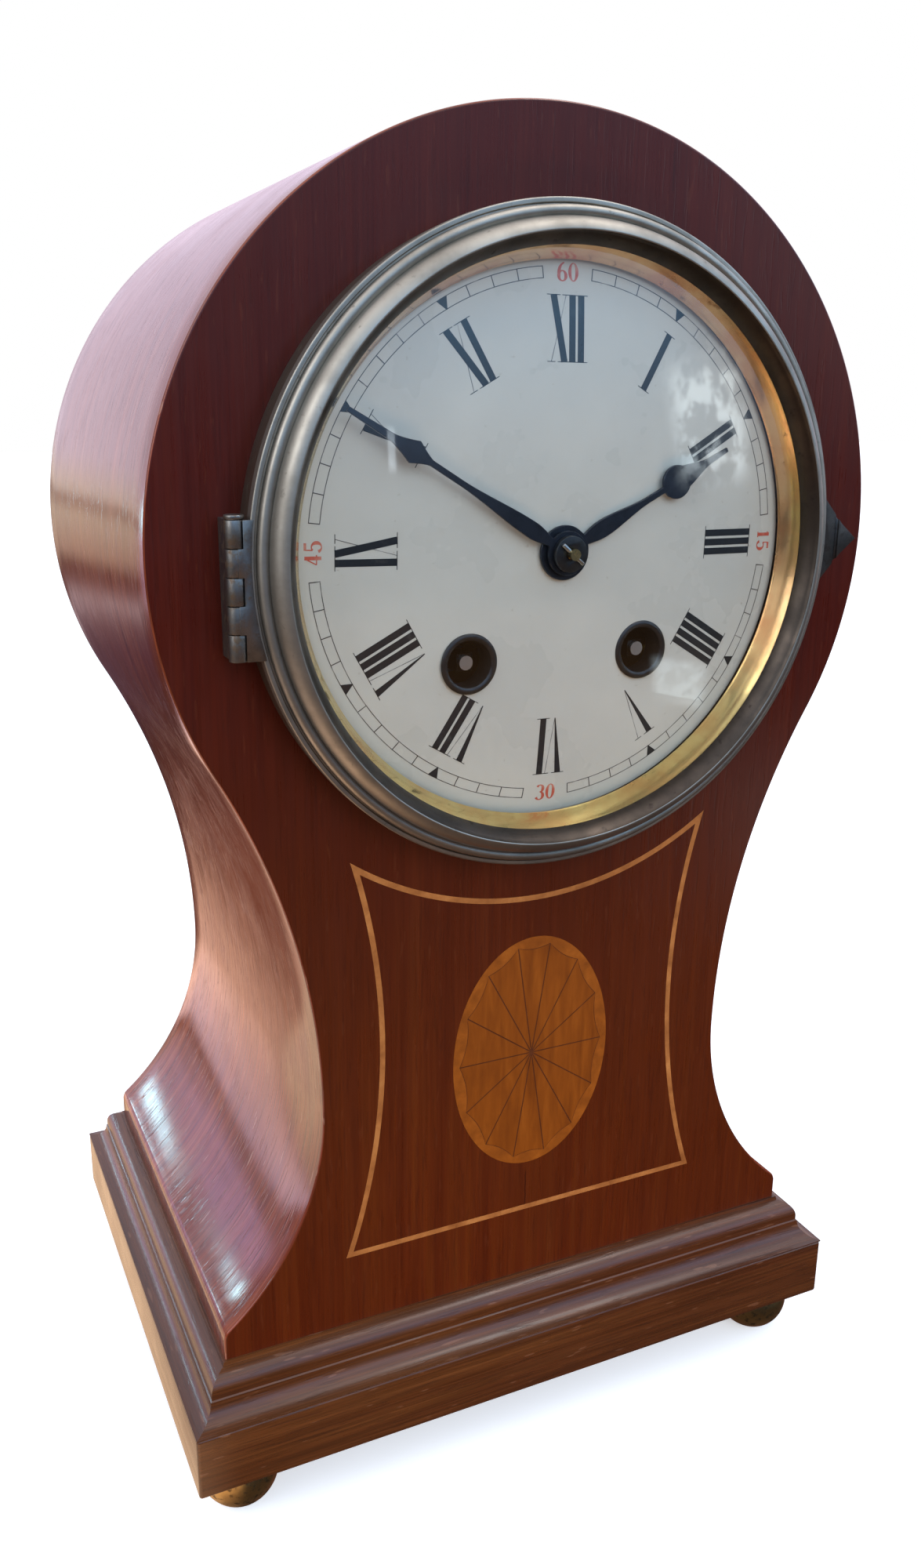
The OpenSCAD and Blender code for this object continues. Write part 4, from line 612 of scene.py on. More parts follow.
def dressed(node, name, materials, bevel, slot=None, angle=34.0, cuts=()):
    # a CAD node's own shape, merged, cut where asked, with its edges softened
    source = frame["nodes"][node]
    bm = bmesh.new()
    bm.from_mesh(source.data)
    bmesh.ops.remove_doubles(bm, verts=bm.verts[:], dist=0.000004)
    bmesh.ops.dissolve_limit(bm, angle_limit=math.radians(0.5), verts=bm.verts[:], edges=bm.edges[:])
    mesh = bpy.data.meshes.new(name)
    bm.to_mesh(mesh)
    bm.free()
    mesh.materials.clear()
    if cuts:
        mesh = drilled(name, mesh, cuts)
    loose = looseObject(name + "Loose", mesh)
    loose.data.materials.clear()
    soften = loose.modifiers.new("edges", "BEVEL")
    soften.width = bevel * mm
    soften.segments = 2
    soften.limit_method = "ANGLE"
    soften.angle_limit = math.radians(angle)
    soften.use_clamp_overlap = True
    made = evaluated(loose, name)
    settle(made, roundAngle)
    return place(name, made, source["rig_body"], materials, [node], slot)


def startTree(name, sizes, geometry=None):
    # a node tree with named inputs, and the keys by which a modifier sets them
    tree = bpy.data.node_groups.new(name, "GeometryNodeTree")
    if geometry:
        tree.interface.new_socket(name=geometry, in_out="INPUT", socket_type="NodeSocketGeometry")
    keys = {}
    for label, value in sizes.items():
        socket = tree.interface.new_socket(name=label, in_out="INPUT", socket_type="NodeSocketFloat")
        socket.default_value = value
        keys[label] = socket.identifier
    tree.interface.new_socket(name="Result", in_out="OUTPUT", socket_type="NodeSocketGeometry")
    return tree, keys, addNode(tree, "NodeGroupInput").outputs


def endTree(tree, spots, material):
    real = addNode(tree, "GeometryNodeRealizeInstances", {"Geometry": spots.outputs[0]})
    finish = addNode(tree, "GeometryNodeSetMaterial", {"Geometry": real.outputs[0], "Material": material})
    addNode(tree, "NodeGroupOutput", {"Result": finish.outputs[0]})


def grown(name, mesh, tree, keys, sizes):
    # the tree run on a mesh with its sizes set, kept as a plain mesh
    loose = looseObject(name + "Loose", mesh)
    nodes = loose.modifiers.new("grow", "NODES")
    nodes.node_group = tree
    for label, value in sizes.items():
        nodes[keys[label]] = value
    made = evaluated(loose, name)
    made.materials.clear()
    return made


# Case

caseShape = {
    "waistHalf": 49.25, "waistZ": 53.9, "flareR": 61.0, "shoulderR": 3.0, "footHalf": 72.5,
    "edgeRound": 0.5, "wall": 9.0, "backHoleR": 51.0, "apertureR": 57.2,
}
headR = frontHi.x / mm
headZ = (frontHi.z - caseZ) / mm - headR


def caseOutline(inset):
    c = caseShape
    waistHalf, waistZ, flareR, shoulderR = c["waistHalf"], c["waistZ"], c["flareR"], c["shoulderR"]
    waistR = (waistHalf**2 + (headZ - waistZ) ** 2 - headR**2) / (2 * (headR - waistHalf))
    flareX, waistX, shoulderX = waistHalf + flareR, waistHalf + waistR, c["footHalf"] - shoulderR
    shoulderZ = waistZ - math.sqrt((flareR + shoulderR) ** 2 - (flareX - shoulderX) ** 2)
    lower = math.degrees(math.atan2(waistZ - shoulderZ, flareX - shoulderX))
    upper = math.degrees(math.atan2(headZ - waistZ, -waistX))
    right = [(c["footHalf"] - inset, 0.0)]
    right += arc((shoulderX, shoulderZ), shoulderR - inset, 0.0, lower, 8)
    right += arc((flareX, waistZ), flareR + inset, 180.0 + lower, 180.0, 40)[1:]
    right += arc((waistX, waistZ), waistR + inset, 180.0, upper, 40)[1:]
    right += arc((0.0, headZ), headR - inset, upper - 180.0, 90.0, 110)[1:]
    return right + [(-x, z) for x, z in reversed(right[:-1])]


def wallOutline(inset):
    # inside of the side wall
    wall = caseShape["wall"]
    points = caseOutline(0.0)
    inner = []
    count = len(points)
    for i, (x, z) in enumerate(points):
        ax, az = points[i - 1]
        bx, bz = points[(i + 1) % count]
        length = math.hypot(bx - ax, bz - az)
        nx, nz = -(bz - az) / length, (bx - ax) / length
        inner.append((x + nx * (wall + inset), max(0.0, z + nz * (wall + inset))))
    inner[0] = (caseShape["footHalf"] - wall, 0.0)
    inner[-1] = (wall - caseShape["footHalf"], 0.0)
    return inner


def wrapVeneer(mesh):
    # UV along the outline and into the depth, in metres, so that the grain follows the bend
    outline = caseOutline(0.0)
    lengths = [0.0]
    for (ax, az), (bx, bz) in zip(outline, outline[1:]):
        lengths.append(lengths[-1] + math.hypot(bx - ax, bz - az))
    layer = mesh.uv_layers.new(name="veneer")
    table = {}
    for vertex in mesh.vertices:
        x, z = vertex.co.x / mm, (vertex.co.z - caseZ) / mm
        nearest = min(range(len(outline)), key=lambda i: (outline[i][0] - x) ** 2 + (outline[i][1] - z) ** 2)
        table[vertex.index] = (lengths[nearest] * mm, vertex.co.y)
    for loop in mesh.loops:
        layer.data[loop.index].uv = table[loop.vertex_index]


edgeRound = caseShape["edgeRound"]
frontLevels = [(0.0, edgeRound)]
for step in range(1, 5):
    c, s = turnOf(90.0 * step / 4)
    frontLevels.append((-edgeRound * (1 - c), edgeRound * (1 - s)))
frontLevels.append((depthOf(frontHi.y), 0.0))
aperture = circleRing(caseShape["apertureR"], dialHeight)
frontMesh = plate("caseFront", [caseOutline, aperture], frontLevels)
wrapVeneer(frontMesh)
for polygon in frontMesh.polygons:  # only the front face has the flat veneer, the rest joins the sides
    polygon.material_index = 0 if polygon.normal.y < -0.9 else 1
place("caseFront", frontMesh, "clock", [frontWood, sideWood], ["front_panel"], "mahogany_front")

shellLevels = [(depthOf(shellLo.y), 0.0), (depthOf(shellHi.y), 0.0)]
shellMesh = plate("caseSides", [caseOutline, wallOutline], shellLevels)
wrapVeneer(shellMesh)
for polygon in shellMesh.polygons:
    polygon.material_index = 0
place("caseSides", shellMesh, "clock", [sideWood], ["side_shell"], "mahogany_sides")

backLevels = [(depthOf(backLo.y), 0.0)]
for step in range(5):
    c, s = turnOf(90.0 * step / 4)
    backLevels.append((depthOf(backHi.y) + edgeRound * (1 - s), edgeRound * (1 - c)))
backHole = circleRing(caseShape["backHoleR"], dialHeight)
backMesh = plate("caseBack", [caseOutline, backHole], backLevels)
wrapVeneer(backMesh)
place("caseBack", backMesh, "clock", [rawWood, sideWood], ["back_panel"], "mahogany_sides")
print("case made")

# Base: mitred moulding all round over a plinth

baseShape = {"edge": 0.7}
mouldLo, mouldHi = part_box("moulding_front")
plinthLo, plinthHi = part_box("plinth")
footHalf = caseShape["footHalf"]
baseOut = plinthHi.x / mm - footHalf
mouldH = (mouldHi.z - mouldLo.z) / mm
mouldShape = {
    "ovoloR": 3.6, "fillet": 1.2, "coveR": 4.7, "soft": 0.25, "tuck": 0.5, "drop": 0.05, "lead": 0.2,
    "lip": 0.3,
}


def mouldProfile():
    # (out, up) from the case's foot, down over the round and the hollow to the plinth
    m = mouldShape
    ovoloR, coveR, soft, lip = m["ovoloR"], m["coveR"], m["soft"], m["lip"]
    step, top = baseOut - coveR, mouldH - m["drop"]
    roundX, roundZ = step - ovoloR, coveR + m["fillet"]
    points = [(-m["tuck"], top), (roundX - m["lead"], top), (roundX, roundZ + ovoloR)]
    points += arc((roundX, roundZ), ovoloR, 90.0, 0.0, 14)[1:]
    points += [(step, coveR + soft)]
    points += arc((baseOut, coveR), coveR - lip, 180.0, 270.0, 14)
    points += [(baseOut - soft, lip), (baseOut, lip - soft / 2), (baseOut, 0.0), (-m["tuck"], 0.0)]
    return points


def mouldPiece(corners, bm=None):
    # corners: functions from out to a plan point, one at each end
    bm = bm or bmesh.new()
    rows = []
    for corner in corners:
        rows.append([bm.verts.new(Vector((*corner(out), mouldLo.z + up * mm))) for out, up in mouldProfile()])
    loft(bm, rows)
    return bm


def mitre(side):
    return lambda out: (side * (footHalf + out) * mm, faceY - out * mm)


def backMitre(side):
    return lambda out: (side * (footHalf + out) * mm, backHi.y + out * mm)


frontMouldMesh = meshFrom(mouldPiece([mitre(-1), mitre(1)]), "mouldFront", mouldAngle)
place("mouldFront", frontMouldMesh, "clock", [baseWood], ["moulding_front"], "mahogany_base")
sideMould = mouldPiece([mitre(-1), backMitre(-1)])
mouldPiece([mitre(1), backMitre(1)], sideMould)
mouldPiece([backMitre(-1), backMitre(1)], sideMould)
sideMouldMesh = meshFrom(sideMould, "mouldSides", mouldAngle)
for polygon in sideMouldMesh.polygons:
    polygon.material_index = 1 if polygon.center.y > backHi.y and abs(polygon.normal.x) < 0.3 else 0
place("mouldSides", sideMouldMesh, "clock", [baseSideWood, baseWood], ["moulding_sides"], "mahogany_base")


def softBox(name, lo, hi, edge):
    bm = bmesh.new()
    bmesh.ops.create_cube(bm, size=1.0)
    for v in bm.verts:
        v.co = Vector([(a + b) / 2 + c * (b - a) for a, b, c in zip(lo, hi, v.co)])
    bmesh.ops.bevel(bm, geom=bm.edges[:], offset=edge * mm, segments=4, profile=0.5, affect="EDGES")
    return meshFrom(bm, name, mouldAngle)


plinthMesh = softBox("plinthBlock", plinthLo, plinthHi, baseShape["edge"])
for polygon in plinthMesh.polygons:
    polygon.material_index = 1 if abs(polygon.normal.x) > 0.75 else 0
place("plinthBlock", plinthMesh, "clock", [baseWood, baseSideWood], ["plinth"], "mahogany_base")
paint("base_board", baseSideWood)
print("base made")

# Inlay: stringing strips, oval border and the fan

inlayShape = {
    "proud": 0.03, "deep": 0.6, "stringW": 1.2, "topR": 73.6, "waist": 36.4, "waistZ": 66.0,
    "sideR": 150.0, "bottom": 16.9, "fanZ": 57.2, "fanHalfW": 19.3, "fanHalfH": 27.9, "blades": 14,
    "borderW": 1.5, "hollow": 1.3, "joint": 0.28, "bladeOver": 0.01, "groundOut": 0.012,
    "groundShare": 0.4,
}


def stripMesh(name, strips):
    # strips: pairs of point lists, one for each edge, laid flush on the front
    s = inlayShape
    bm = bmesh.new()
    for inner, outer in strips:
        rows = []
        for (ax, az), (bx, bz) in zip(inner, outer):
            rows.append([
                bm.verts.new(facePoint(ax, s["proud"], az)), bm.verts.new(facePoint(bx, s["proud"], bz)),
                bm.verts.new(facePoint(bx, -s["deep"], bz)), bm.verts.new(facePoint(ax, -s["deep"], az)),
            ])
        loft(bm, rows)
    return meshFrom(bm, name, mouldAngle)


def stringCorner(inset, top):
    # where the side arc meets the upper arc or the lower line, on the right
    s = inlayShape
    sideX, sideR = s["waist"] + s["sideR"], s["sideR"] + inset
    if not top:
        z = s["bottom"] + inset
        return sideX - math.sqrt(sideR**2 - (z - s["waistZ"]) ** 2), z
    topR = s["topR"] + inset
    dx, dz = sideX, s["waistZ"] - dialHeight
    d = math.hypot(dx, dz)
    along = (topR**2 - sideR**2 + d * d) / (2 * d)
    off = math.sqrt(topR**2 - along**2)
    return dx / d * along + dz / d * off, dialHeight + dz / d * along - dx / d * off


def stringSide(inset):
    s = inlayShape
    sideX, sideR = s["waist"] + s["sideR"], s["sideR"] + inset
    (lowX, lowZ), (highX, highZ) = stringCorner(inset, False), stringCorner(inset, True)
    start = math.degrees(math.atan2(lowZ - s["waistZ"], lowX - sideX)) % 360
    end = math.degrees(math.atan2(highZ - s["waistZ"], highX - sideX)) % 360
    return arc((sideX, s["waistZ"]), sideR, start, end, 48)


def stringTop(inset):
    s = inlayShape
    x, z = stringCorner(inset, True)
    a = math.degrees(math.atan2(z - dialHeight, x))
    return arc((0.0, dialHeight), s["topR"] + inset, a, -180.0 - a, 48)


def stringLow(inset):
    x, z = stringCorner(inset, False)
    return [(x - 2 * x * i / 24, z) for i in range(25)]


def mirrored(points):
    return [(-x, z) for x, z in points]


stringRuns = [(run(0.0), run(inlayShape["stringW"])) for run in (stringSide, stringTop, stringLow)]
stringRuns.append(tuple(mirrored(edge) for edge in stringRuns[0]))
place("stringing", stripMesh("stringing", stringRuns), "clock", [stringWood], ["stringing"], "boxwood")


def fanEdge(degrees, inset):
    s = inlayShape
    c, d = turnOf(degrees)
    return (s["fanHalfW"] - inset) * c, s["fanZ"] + (s["fanHalfH"] - inset) * d


def fanScallop(share):
    s = inlayShape
    return s["borderW"] + s["hollow"] * (1 - (2 * share - 1) ** 2)


fanSteps = 8
blades = inlayShape["blades"]
fanTurn = 360.0 / blades
borderOuter, borderInner = [], []
for i in range(blades * fanSteps + 1):
    degrees = i * fanTurn / fanSteps
    borderOuter.append(fanEdge(degrees, 0.0))
    borderInner.append(fanEdge(degrees, fanScallop((i % fanSteps) / fanSteps)))
borderMesh = stripMesh("fanBorder", [(borderInner, borderOuter)])
place("fanBorder", borderMesh, "clock", [borderWood], ["fan_border"], "fan_wood")


def bladeMesh():
    # blades drawn from the hub to the scalloped ends, each a little smaller than its place
    s = inlayShape
    bm = bmesh.new()
    half = s["joint"] / 2
    shares = [k / fanSteps for k in range(fanSteps + 1)]
    for i in range(blades):
        rim = [fanEdge((i + share) * fanTurn, fanScallop(share) + half) for share in shares]
        first, last = Vector(rim[0]), Vector(rim[-1])
        hub = Vector((0.0, s["fanZ"]))
        toFirst, toLast = (first - hub).normalized(), (last - hub).normalized()
        insideFirst = Vector((-toFirst.y, toFirst.x)) * half
        insideLast = Vector((toLast.y, -toLast.x)) * half
        gap = toFirst.angle(toLast)
        tip = hub + (toFirst + toLast).normalized() * (half / math.sin(gap / 2))
        outline = [tip, first + insideFirst, *[Vector(p) for p in rim[1:-1]], last + insideLast]
        front = [bm.verts.new(facePoint(p.x, s["proud"] + s["bladeOver"], p.y)) for p in outline]
        rear = [bm.verts.new(facePoint(p.x, -s["deep"], p.y)) for p in outline]
        loft(bm, [front, rear])
    return meshFrom(bm, "fanBlades", mouldAngle)


place("fanBlades", bladeMesh(), "clock", [bladeWood], ["fan_segments"], "fan_wood")
groundIn = inlayShape["borderW"] * inlayShape["groundShare"]
groundOval = [fanEdge(i * fanTurn / fanSteps, groundIn) for i in range(blades * fanSteps)]
groundBm = bmesh.new()
groundFront = [groundBm.verts.new(facePoint(x, inlayShape["groundOut"], z)) for x, z in groundOval]
groundRear = [groundBm.verts.new(facePoint(x, -inlayShape["deep"], z)) for x, z in groundOval]
loft(groundBm, [groundFront, groundRear])
place("fanJoints", meshFrom(groundBm, "fanJoints", mouldAngle), "clock", [jointWood], (), "fan_wood")
print("inlay made")

# Feet: one turned bun, set at the four corners by nodes

footShape = {"bunR": 9.0, "flatR": 3.0, "neckR": 7.3, "shoulder": 27.0, "steps": 22}


def footProfile():
    f = footShape
    footH = plinthLo.z / mm
    centre = math.sqrt(f["bunR"] ** 2 - f["flatR"] ** 2)
    start = math.degrees(math.atan2(-centre, f["flatR"]))
    points = [(0.0, 0.0), (f["flatR"], 0.0)]
    points += arc((0.0, centre), f["bunR"], start, f["shoulder"], f["steps"])[1:]
    points += [(f["neckR"], footH), (0.0, footH)]
    return points


def footTree(sizes):
    tree, keys, given = startTree("bunFeet", sizes, "Profile")
    grid = addNode(tree, "GeometryNodeMeshGrid", {
        "Size X": given["Width"], "Size Y": given["Depth"], "Vertices X": 2, "Vertices Y": 2,
    })
    offset = addNode(tree, "ShaderNodeCombineXYZ", {"Y": given["Middle"]})
    moved = addNode(tree, "GeometryNodeTransform", {
        "Geometry": grid.outputs["Mesh"], "Translation": offset.outputs[0],
    })
    spots = addNode(tree, "GeometryNodeInstanceOnPoints", {
        "Points": moved.outputs[0], "Instance": given["Profile"],
    })
    endTree(tree, spots, footBrass)
    return tree, keys


def turned(name, profile, steps=72):
    # profile of (radius, height) turned about Z, with closed poles
    bm = bmesh.new()
    verts = [bm.verts.new((r * mm, 0.0, z * mm)) for r, z in profile]
    rim = [bm.edges.new((a, b)) for a, b in zip(verts, verts[1:])]
    bmesh.ops.spin(
        bm, geom=verts + rim, cent=(0, 0, 0), axis=(0, 0, 1), angle=math.tau, steps=steps, use_merge=True,
    )
    bmesh.ops.remove_doubles(bm, verts=bm.verts[:], dist=1e-7)
    return meshFrom(bm, name)


feetLo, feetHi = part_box("bun_feet")
bunR = footShape["bunR"] * mm
feetSizes = {
    "Width": feetHi.x - feetLo.x - 2 * bunR,
    "Depth": feetHi.y - feetLo.y - 2 * bunR,
    "Middle": (feetLo.y + feetHi.y) / 2,
}
feetMesh = grown("bunFeet", turned("bunFoot", footProfile()), *footTree(feetSizes), feetSizes)
settle(feetMesh, roundAngle)
place("bunFeet", feetMesh, "clock", [footBrass], ["bun_feet"], "foot_brass")
print("feet made")

# Bezel, fixed ring, sight ring and glass, all turned about the dial's axis

bezelShape = {
    "rimR": 63.4, "rimOut": 8.0, "rimRound": 0.35, "grooveR": 62.3, "beadR": 61.0, "beadOut": 8.75,
    "bead": 1.05, "beadTurn": (138.0, -35.0), "rollR": 60.0, "rollOut": 9.9, "roll": 0.52, "crestR": 57.6,
    "crestOut": 12.8, "crest": 0.35, "crestTurn": (165.0, 72.0), "paintedShadeIn": 0.2, "sightR": 55.2,
    "wallIn": 0.1, "swell": 0.22, "glassEdge": 1.1, "seat": 0.15, "seatOut": 1.0, "ringIn": 1.9,
    "leafTrim": 0.5,
    "groove": [(-0.3, -0.5), (0.0, -0.5), (0.15, -0.1), (0.25, 0.0)],  # steps from grooveR and rimOut
}
ringLo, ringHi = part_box("bezel_base_ring")
bezelBack = depthOf(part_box("bezel")[1].y)
glassFront = depthOf(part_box("glass")[0].y)
glassEdgeR = bezelShape["sightR"] + bezelShape["glassEdge"]
glassSeat = depthOf(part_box("sight_ring")[0].y) + bezelShape["seatOut"]


def curvedRun(start, end, sag, steps):
    # points between two ends, bowed to the right of the way from start to end
    way = Vector(end) - Vector(start)
    across = Vector((way.y, -way.x)).normalized()
    points = []
    for i in range(1, steps):
        share = i / steps
        p = Vector(start) + way * share + across * (sag * (1 - (2 * share - 1) ** 2))
        points.append((p.x, p.y))
    return points


def bezelProfile():
    # from the glass over the crest, down the roll and the bead to the rim
    b = bezelShape
    rebate = glassEdgeR + b["seat"]
    crest = (b["crestR"], b["crestOut"] - b["crest"])
    crestRun = arc(crest, b["crest"], *b["crestTurn"], 8)
    rollEnd = (b["rollR"], b["rollOut"])
    rim = (b["rimR"] - b["rimRound"], b["rimOut"] - b["rimRound"])
    wall = (b["sightR"] + b["wallIn"], glassSeat)
    points = [(rebate, bezelBack), (rebate, glassSeat), wall]
    points += curvedRun(wall, crestRun[0], -b["swell"], 6) + crestRun
    points += curvedRun(crestRun[-1], rollEnd, -b["roll"], 12) + [rollEnd]
    points += arc((b["beadR"], b["beadOut"]), b["bead"], *b["beadTurn"], 14)
    points += [(b["grooveR"] + over, b["rimOut"] + out) for over, out in b["groove"]]
    return points + arc(rim, b["rimRound"], 90.0, 0.0, 6) + [(b["rimR"], bezelBack)]


bezelMesh = revolve("bezelRing", bezelProfile())
# inside the crest the bezel takes the darker bronze, a painted shade on the inner wall
for polygon in bezelMesh.polygons:
    fromAxis = math.hypot(polygon.center.x, polygon.center.z - dialZ) / mm
    polygon.material_index = 1 if fromAxis < bezelShape["crestR"] - bezelShape["paintedShadeIn"] else 0
place("bezelRing", bezelMesh, "bezel_door", [bezelMetal, bezelShadeBronze], ["bezel"], "bezel_bronze")


sightShape = {
    "innerR": 53.3, "outerR": 55.2, "back": 4.7, "room": 0.2, "wall": 2.2,
    "front": [(0.15, 0.0), (-0.1, -0.5), (-1.2, -2.3)],  # steps from outerR and the front
    "lip": [(0.35, 0.6), (0.0, 0.0), (0.05, -0.25), (0.4, -0.45), (1.8, -0.9)],  # steps from innerR and back
}


def sightProfile():
    # a thin cone of brass from the dial's edge out to the glass
    s = sightShape
    front = glassSeat - s["room"]
    points = [(glassEdgeR, front - s["wall"]), (glassEdgeR, front)]
    points += [(s["outerR"] + over, front + out) for over, out in s["front"]]
    return points + [(s["innerR"] + over, s["back"] + out) for over, out in s["lip"]]


sightMesh = revolve("sightRing", sightProfile())
place("sightRing", sightMesh, "bezel_door", [sightBrass], ["sight_ring"], "sight_brass")

glassShape = {"thick": 1.8, "hub": 0.05, "steps": 40}


def glassProfile():
    # two round faces that share a centre
    g = glassShape
    rise = glassFront - glassSeat
    ball = (bezelShape["sightR"] ** 2 + rise**2) / (2 * rise)
    centre = glassFront - ball
    outer, inner = [], []
    for i in range(g["steps"] + 1):
        r = g["hub"] + (glassEdgeR - g["hub"]) * i / g["steps"]
        outer.append((r, centre + math.sqrt(ball**2 - r * r)))
        inner.append((r, centre + math.sqrt((ball - g["thick"]) ** 2 - r * r)))
    return outer + list(reversed(inner))


glassMesh = revolve("domeGlass", glassProfile(), steps=192)
place("domeGlass", glassMesh, "bezel_door", [glassClear], ["glass"], "clear_glass")
ringShape = {
    "bore": 54.6, "wall": 2.4, "round": 0.7, "edge": 0.5, "ledge": 3.3, "room": 1.2,
    "hingeEnds": 1.1, "hingeRoom": 0.3,
}
ringR = ringHi.x / mm - bezelShape["ringIn"]


def ringProfile():
    # spigot in the wood, a flange on it and a ledge inside
    g = ringShape
    flange, spigot = depthOf(ringLo.y), depthOf(ringHi.y)
    bore, wall, step = g["bore"], g["bore"] + g["wall"], glassEdgeR + g["room"]
    outer = arc((ringR - g["round"], flange - g["round"]), g["round"], 90.0, 0.0, 6)
    return [
        (bore, spigot), (wall, spigot), (wall, 0.0), (ringR, 0.0), (ringR, g["edge"]), *reversed(outer),
        (step, flange), (step, g["ledge"]), (bore, g["ledge"]),
    ]


leafLo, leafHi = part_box("hinge_ring_leaf")
pinLo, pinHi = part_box("hinge_pin")
pinX, pinY = (pinLo.x + pinHi.x) / 2, (pinLo.y + pinHi.y) / 2
pinEnds = ringShape["hingeEnds"] * mm
hingeRod = (
    Vector((pinX, pinY, leafLo.z - pinEnds)), Vector((pinX, pinY, leafHi.z + pinEnds)),
    (pinHi.x - pinLo.x) / 2 + ringShape["hingeRoom"] * mm,
)
ringMesh = drilled("fixedRing", revolve("fixedRing", ringProfile()), [hingeRod])
settle(ringMesh)
place("fixedRing", ringMesh, "clock", [ringMetal], ["bezel_base_ring"], "bezel_bronze")
dressed("thumb_tab", "thumbTab", [tabMetal], 0.25, "bezel_bronze")
dressed("hinge_ring_leaf", "hingeRingLeaf", [hingeMetal], 0.15, "hinge_bronze")
leafR = bezelShape["rimR"] - bezelShape["leafTrim"]
leafCut = [(dialPoint(0.0, 20.0, 0.0), dialPoint(0.0, -5.0, 0.0), leafR * mm)]
dressed("hinge_bezel_leaf", "hingeBezelLeaf", [hingeMetal], 0.15, "hinge_bronze", cuts=leafCut)
dressed("hinge_pin", "hingePin", [hingeMetal], 0.2, "hinge_bronze")
print("bezel made")

# Dial: domed enamel, drawn figures that lie on the dome

dialShape = {
    "rise": 3.0, "thick": 1.1, "hub": 0.05, "edge": 0.35, "steps": 30, "centreR": 3.6,
    "windX": 19.5, "windDrop": 20.7, "windR": 5.25, "printTurn": 0.9, "printUp": 0.95,
}
dialR = dialHi.x / mm
dialTop = depthOf(dialLo.y)
dialBall = (dialR**2 + dialShape["rise"] ** 2) / (2 * dialShape["rise"])


def domeOut(x, z):
    return dialTop - dialBall + math.sqrt(dialBall**2 - x * x - z * z)


def printed(x, z):
    # the figures are printed a little turned and high on the dial
    c, s = turnOf(-dialShape["printTurn"])
    return x * c - z * s, x * s + z * c + dialShape["printUp"]


def dialProfile():
    d = dialShape
    outer, inner = [], []
    for i in range(d["steps"] + 1):
        r = d["hub"] + (dialR - d["edge"] - d["hub"]) * i / d["steps"]
        outer.append((r, domeOut(r, 0.0)))
        inner.append((r, domeOut(r, 0.0) - d["thick"]))
    last = domeOut(dialR, 0.0)
    rim = [(dialR - 0.08, last - 0.1), (dialR, last - d["edge"]), (dialR, last - d["thick"])]
    return outer + rim + list(reversed(inner))


def through(x, z, radius):
    return dialPoint(x, dialTop + 2.0, z), dialPoint(x, -1.0, z), radius * mm


windPlaces = [(side * dialShape["windX"], -dialShape["windDrop"]) for side in (1, -1)]
dialRods = [through(0.0, 0.0, dialShape["centreR"])]
dialRods += [through(x, z, dialShape["windR"]) for x, z in windPlaces]
dialMesh = drilled("enamelDial", revolve("enamelDial", dialProfile(), steps=240), dialRods)
settle(dialMesh)
place("enamelDial", dialMesh, "clock", [enamel], ["dial"], "enamel")


class Ink:
    # strips of ink that follow the dome, each a thin closed solid
    def __init__(self, over=0.035, under=0.03):
        self.bm = bmesh.new()
        self.over, self.under = over, under

    def strip(self, pairs):
        rows = []
        for (ax, az), (bx, bz) in pairs:
            row = []
            over, under = self.over, -self.under
            for x, z, lift in ((ax, az, over), (bx, bz, over), (bx, bz, under), (ax, az, under)):
                px, pz = printed(x, z)
                row.append(self.bm.verts.new(dialPoint(px, domeOut(px, pz) + lift, pz)))
            rows.append(row)
        loft(self.bm, rows)

    def ribbon(self, points, widths, toDial):
        pairs = []
        for i, (x, y) in enumerate(points):
            a, b = points[max(i - 1, 0)], points[min(i + 1, len(points) - 1)]
            dx, dy = b[0] - a[0], b[1] - a[1]
            length = math.hypot(dx, dy)
            nx, ny = -dy / length * widths[i] / 2, dx / length * widths[i] / 2
            pairs.append((toDial(x + nx, y + ny), toDial(x - nx, y - ny)))
        self.strip(pairs)

    def bar(self, start, end, startW, endW, toDial, steps=10):
        points, widths = [], []
        for i in range(steps + 1):
            t = i / steps
            points.append((start[0] + (end[0] - start[0]) * t, start[1] + (end[1] - start[1]) * t))
            widths.append(startW + (endW - startW) * t)
        self.ribbon(points, widths, toDial)

    def mesh(self, name):
        return meshFrom(self.bm, name)


def onDial(clockAngle, flip=False):
    # a figure's own frame at that clock angle: x along the rim, y outwards, or inwards if it is flipped
    a = math.radians(clockAngle)
    outward, along = (math.sin(a), math.cos(a)), (math.cos(a), -math.sin(a))
    sign = -1.0 if flip else 1.0

    def toDial(x, y):
        return sign * along[0] * x + outward[0] * y, sign * along[1] * x + outward[1] * y

    return toDial


numeralShape = {
    "inner": 34.3, "outer": 46.15, "bar": 1.36, "pitch": 1.86, "gap": 0.55, "hair": 0.13,
    "serif": 0.14, "serifOut": 0.75, "serifJoin": 1.7, "hairSerif": 0.2,
    "vWidth": 3.0, "vTip": 0.18, "vFeet": (0.15, 0.2), "xWidth": 3.1, "xLean": 0.75, "xHair": (-1.05, 0.95),
}
hours = ["I", "II", "III", "IIII", "V", "VI", "VII", "VIII", "IX", "X", "XI", "XII"]


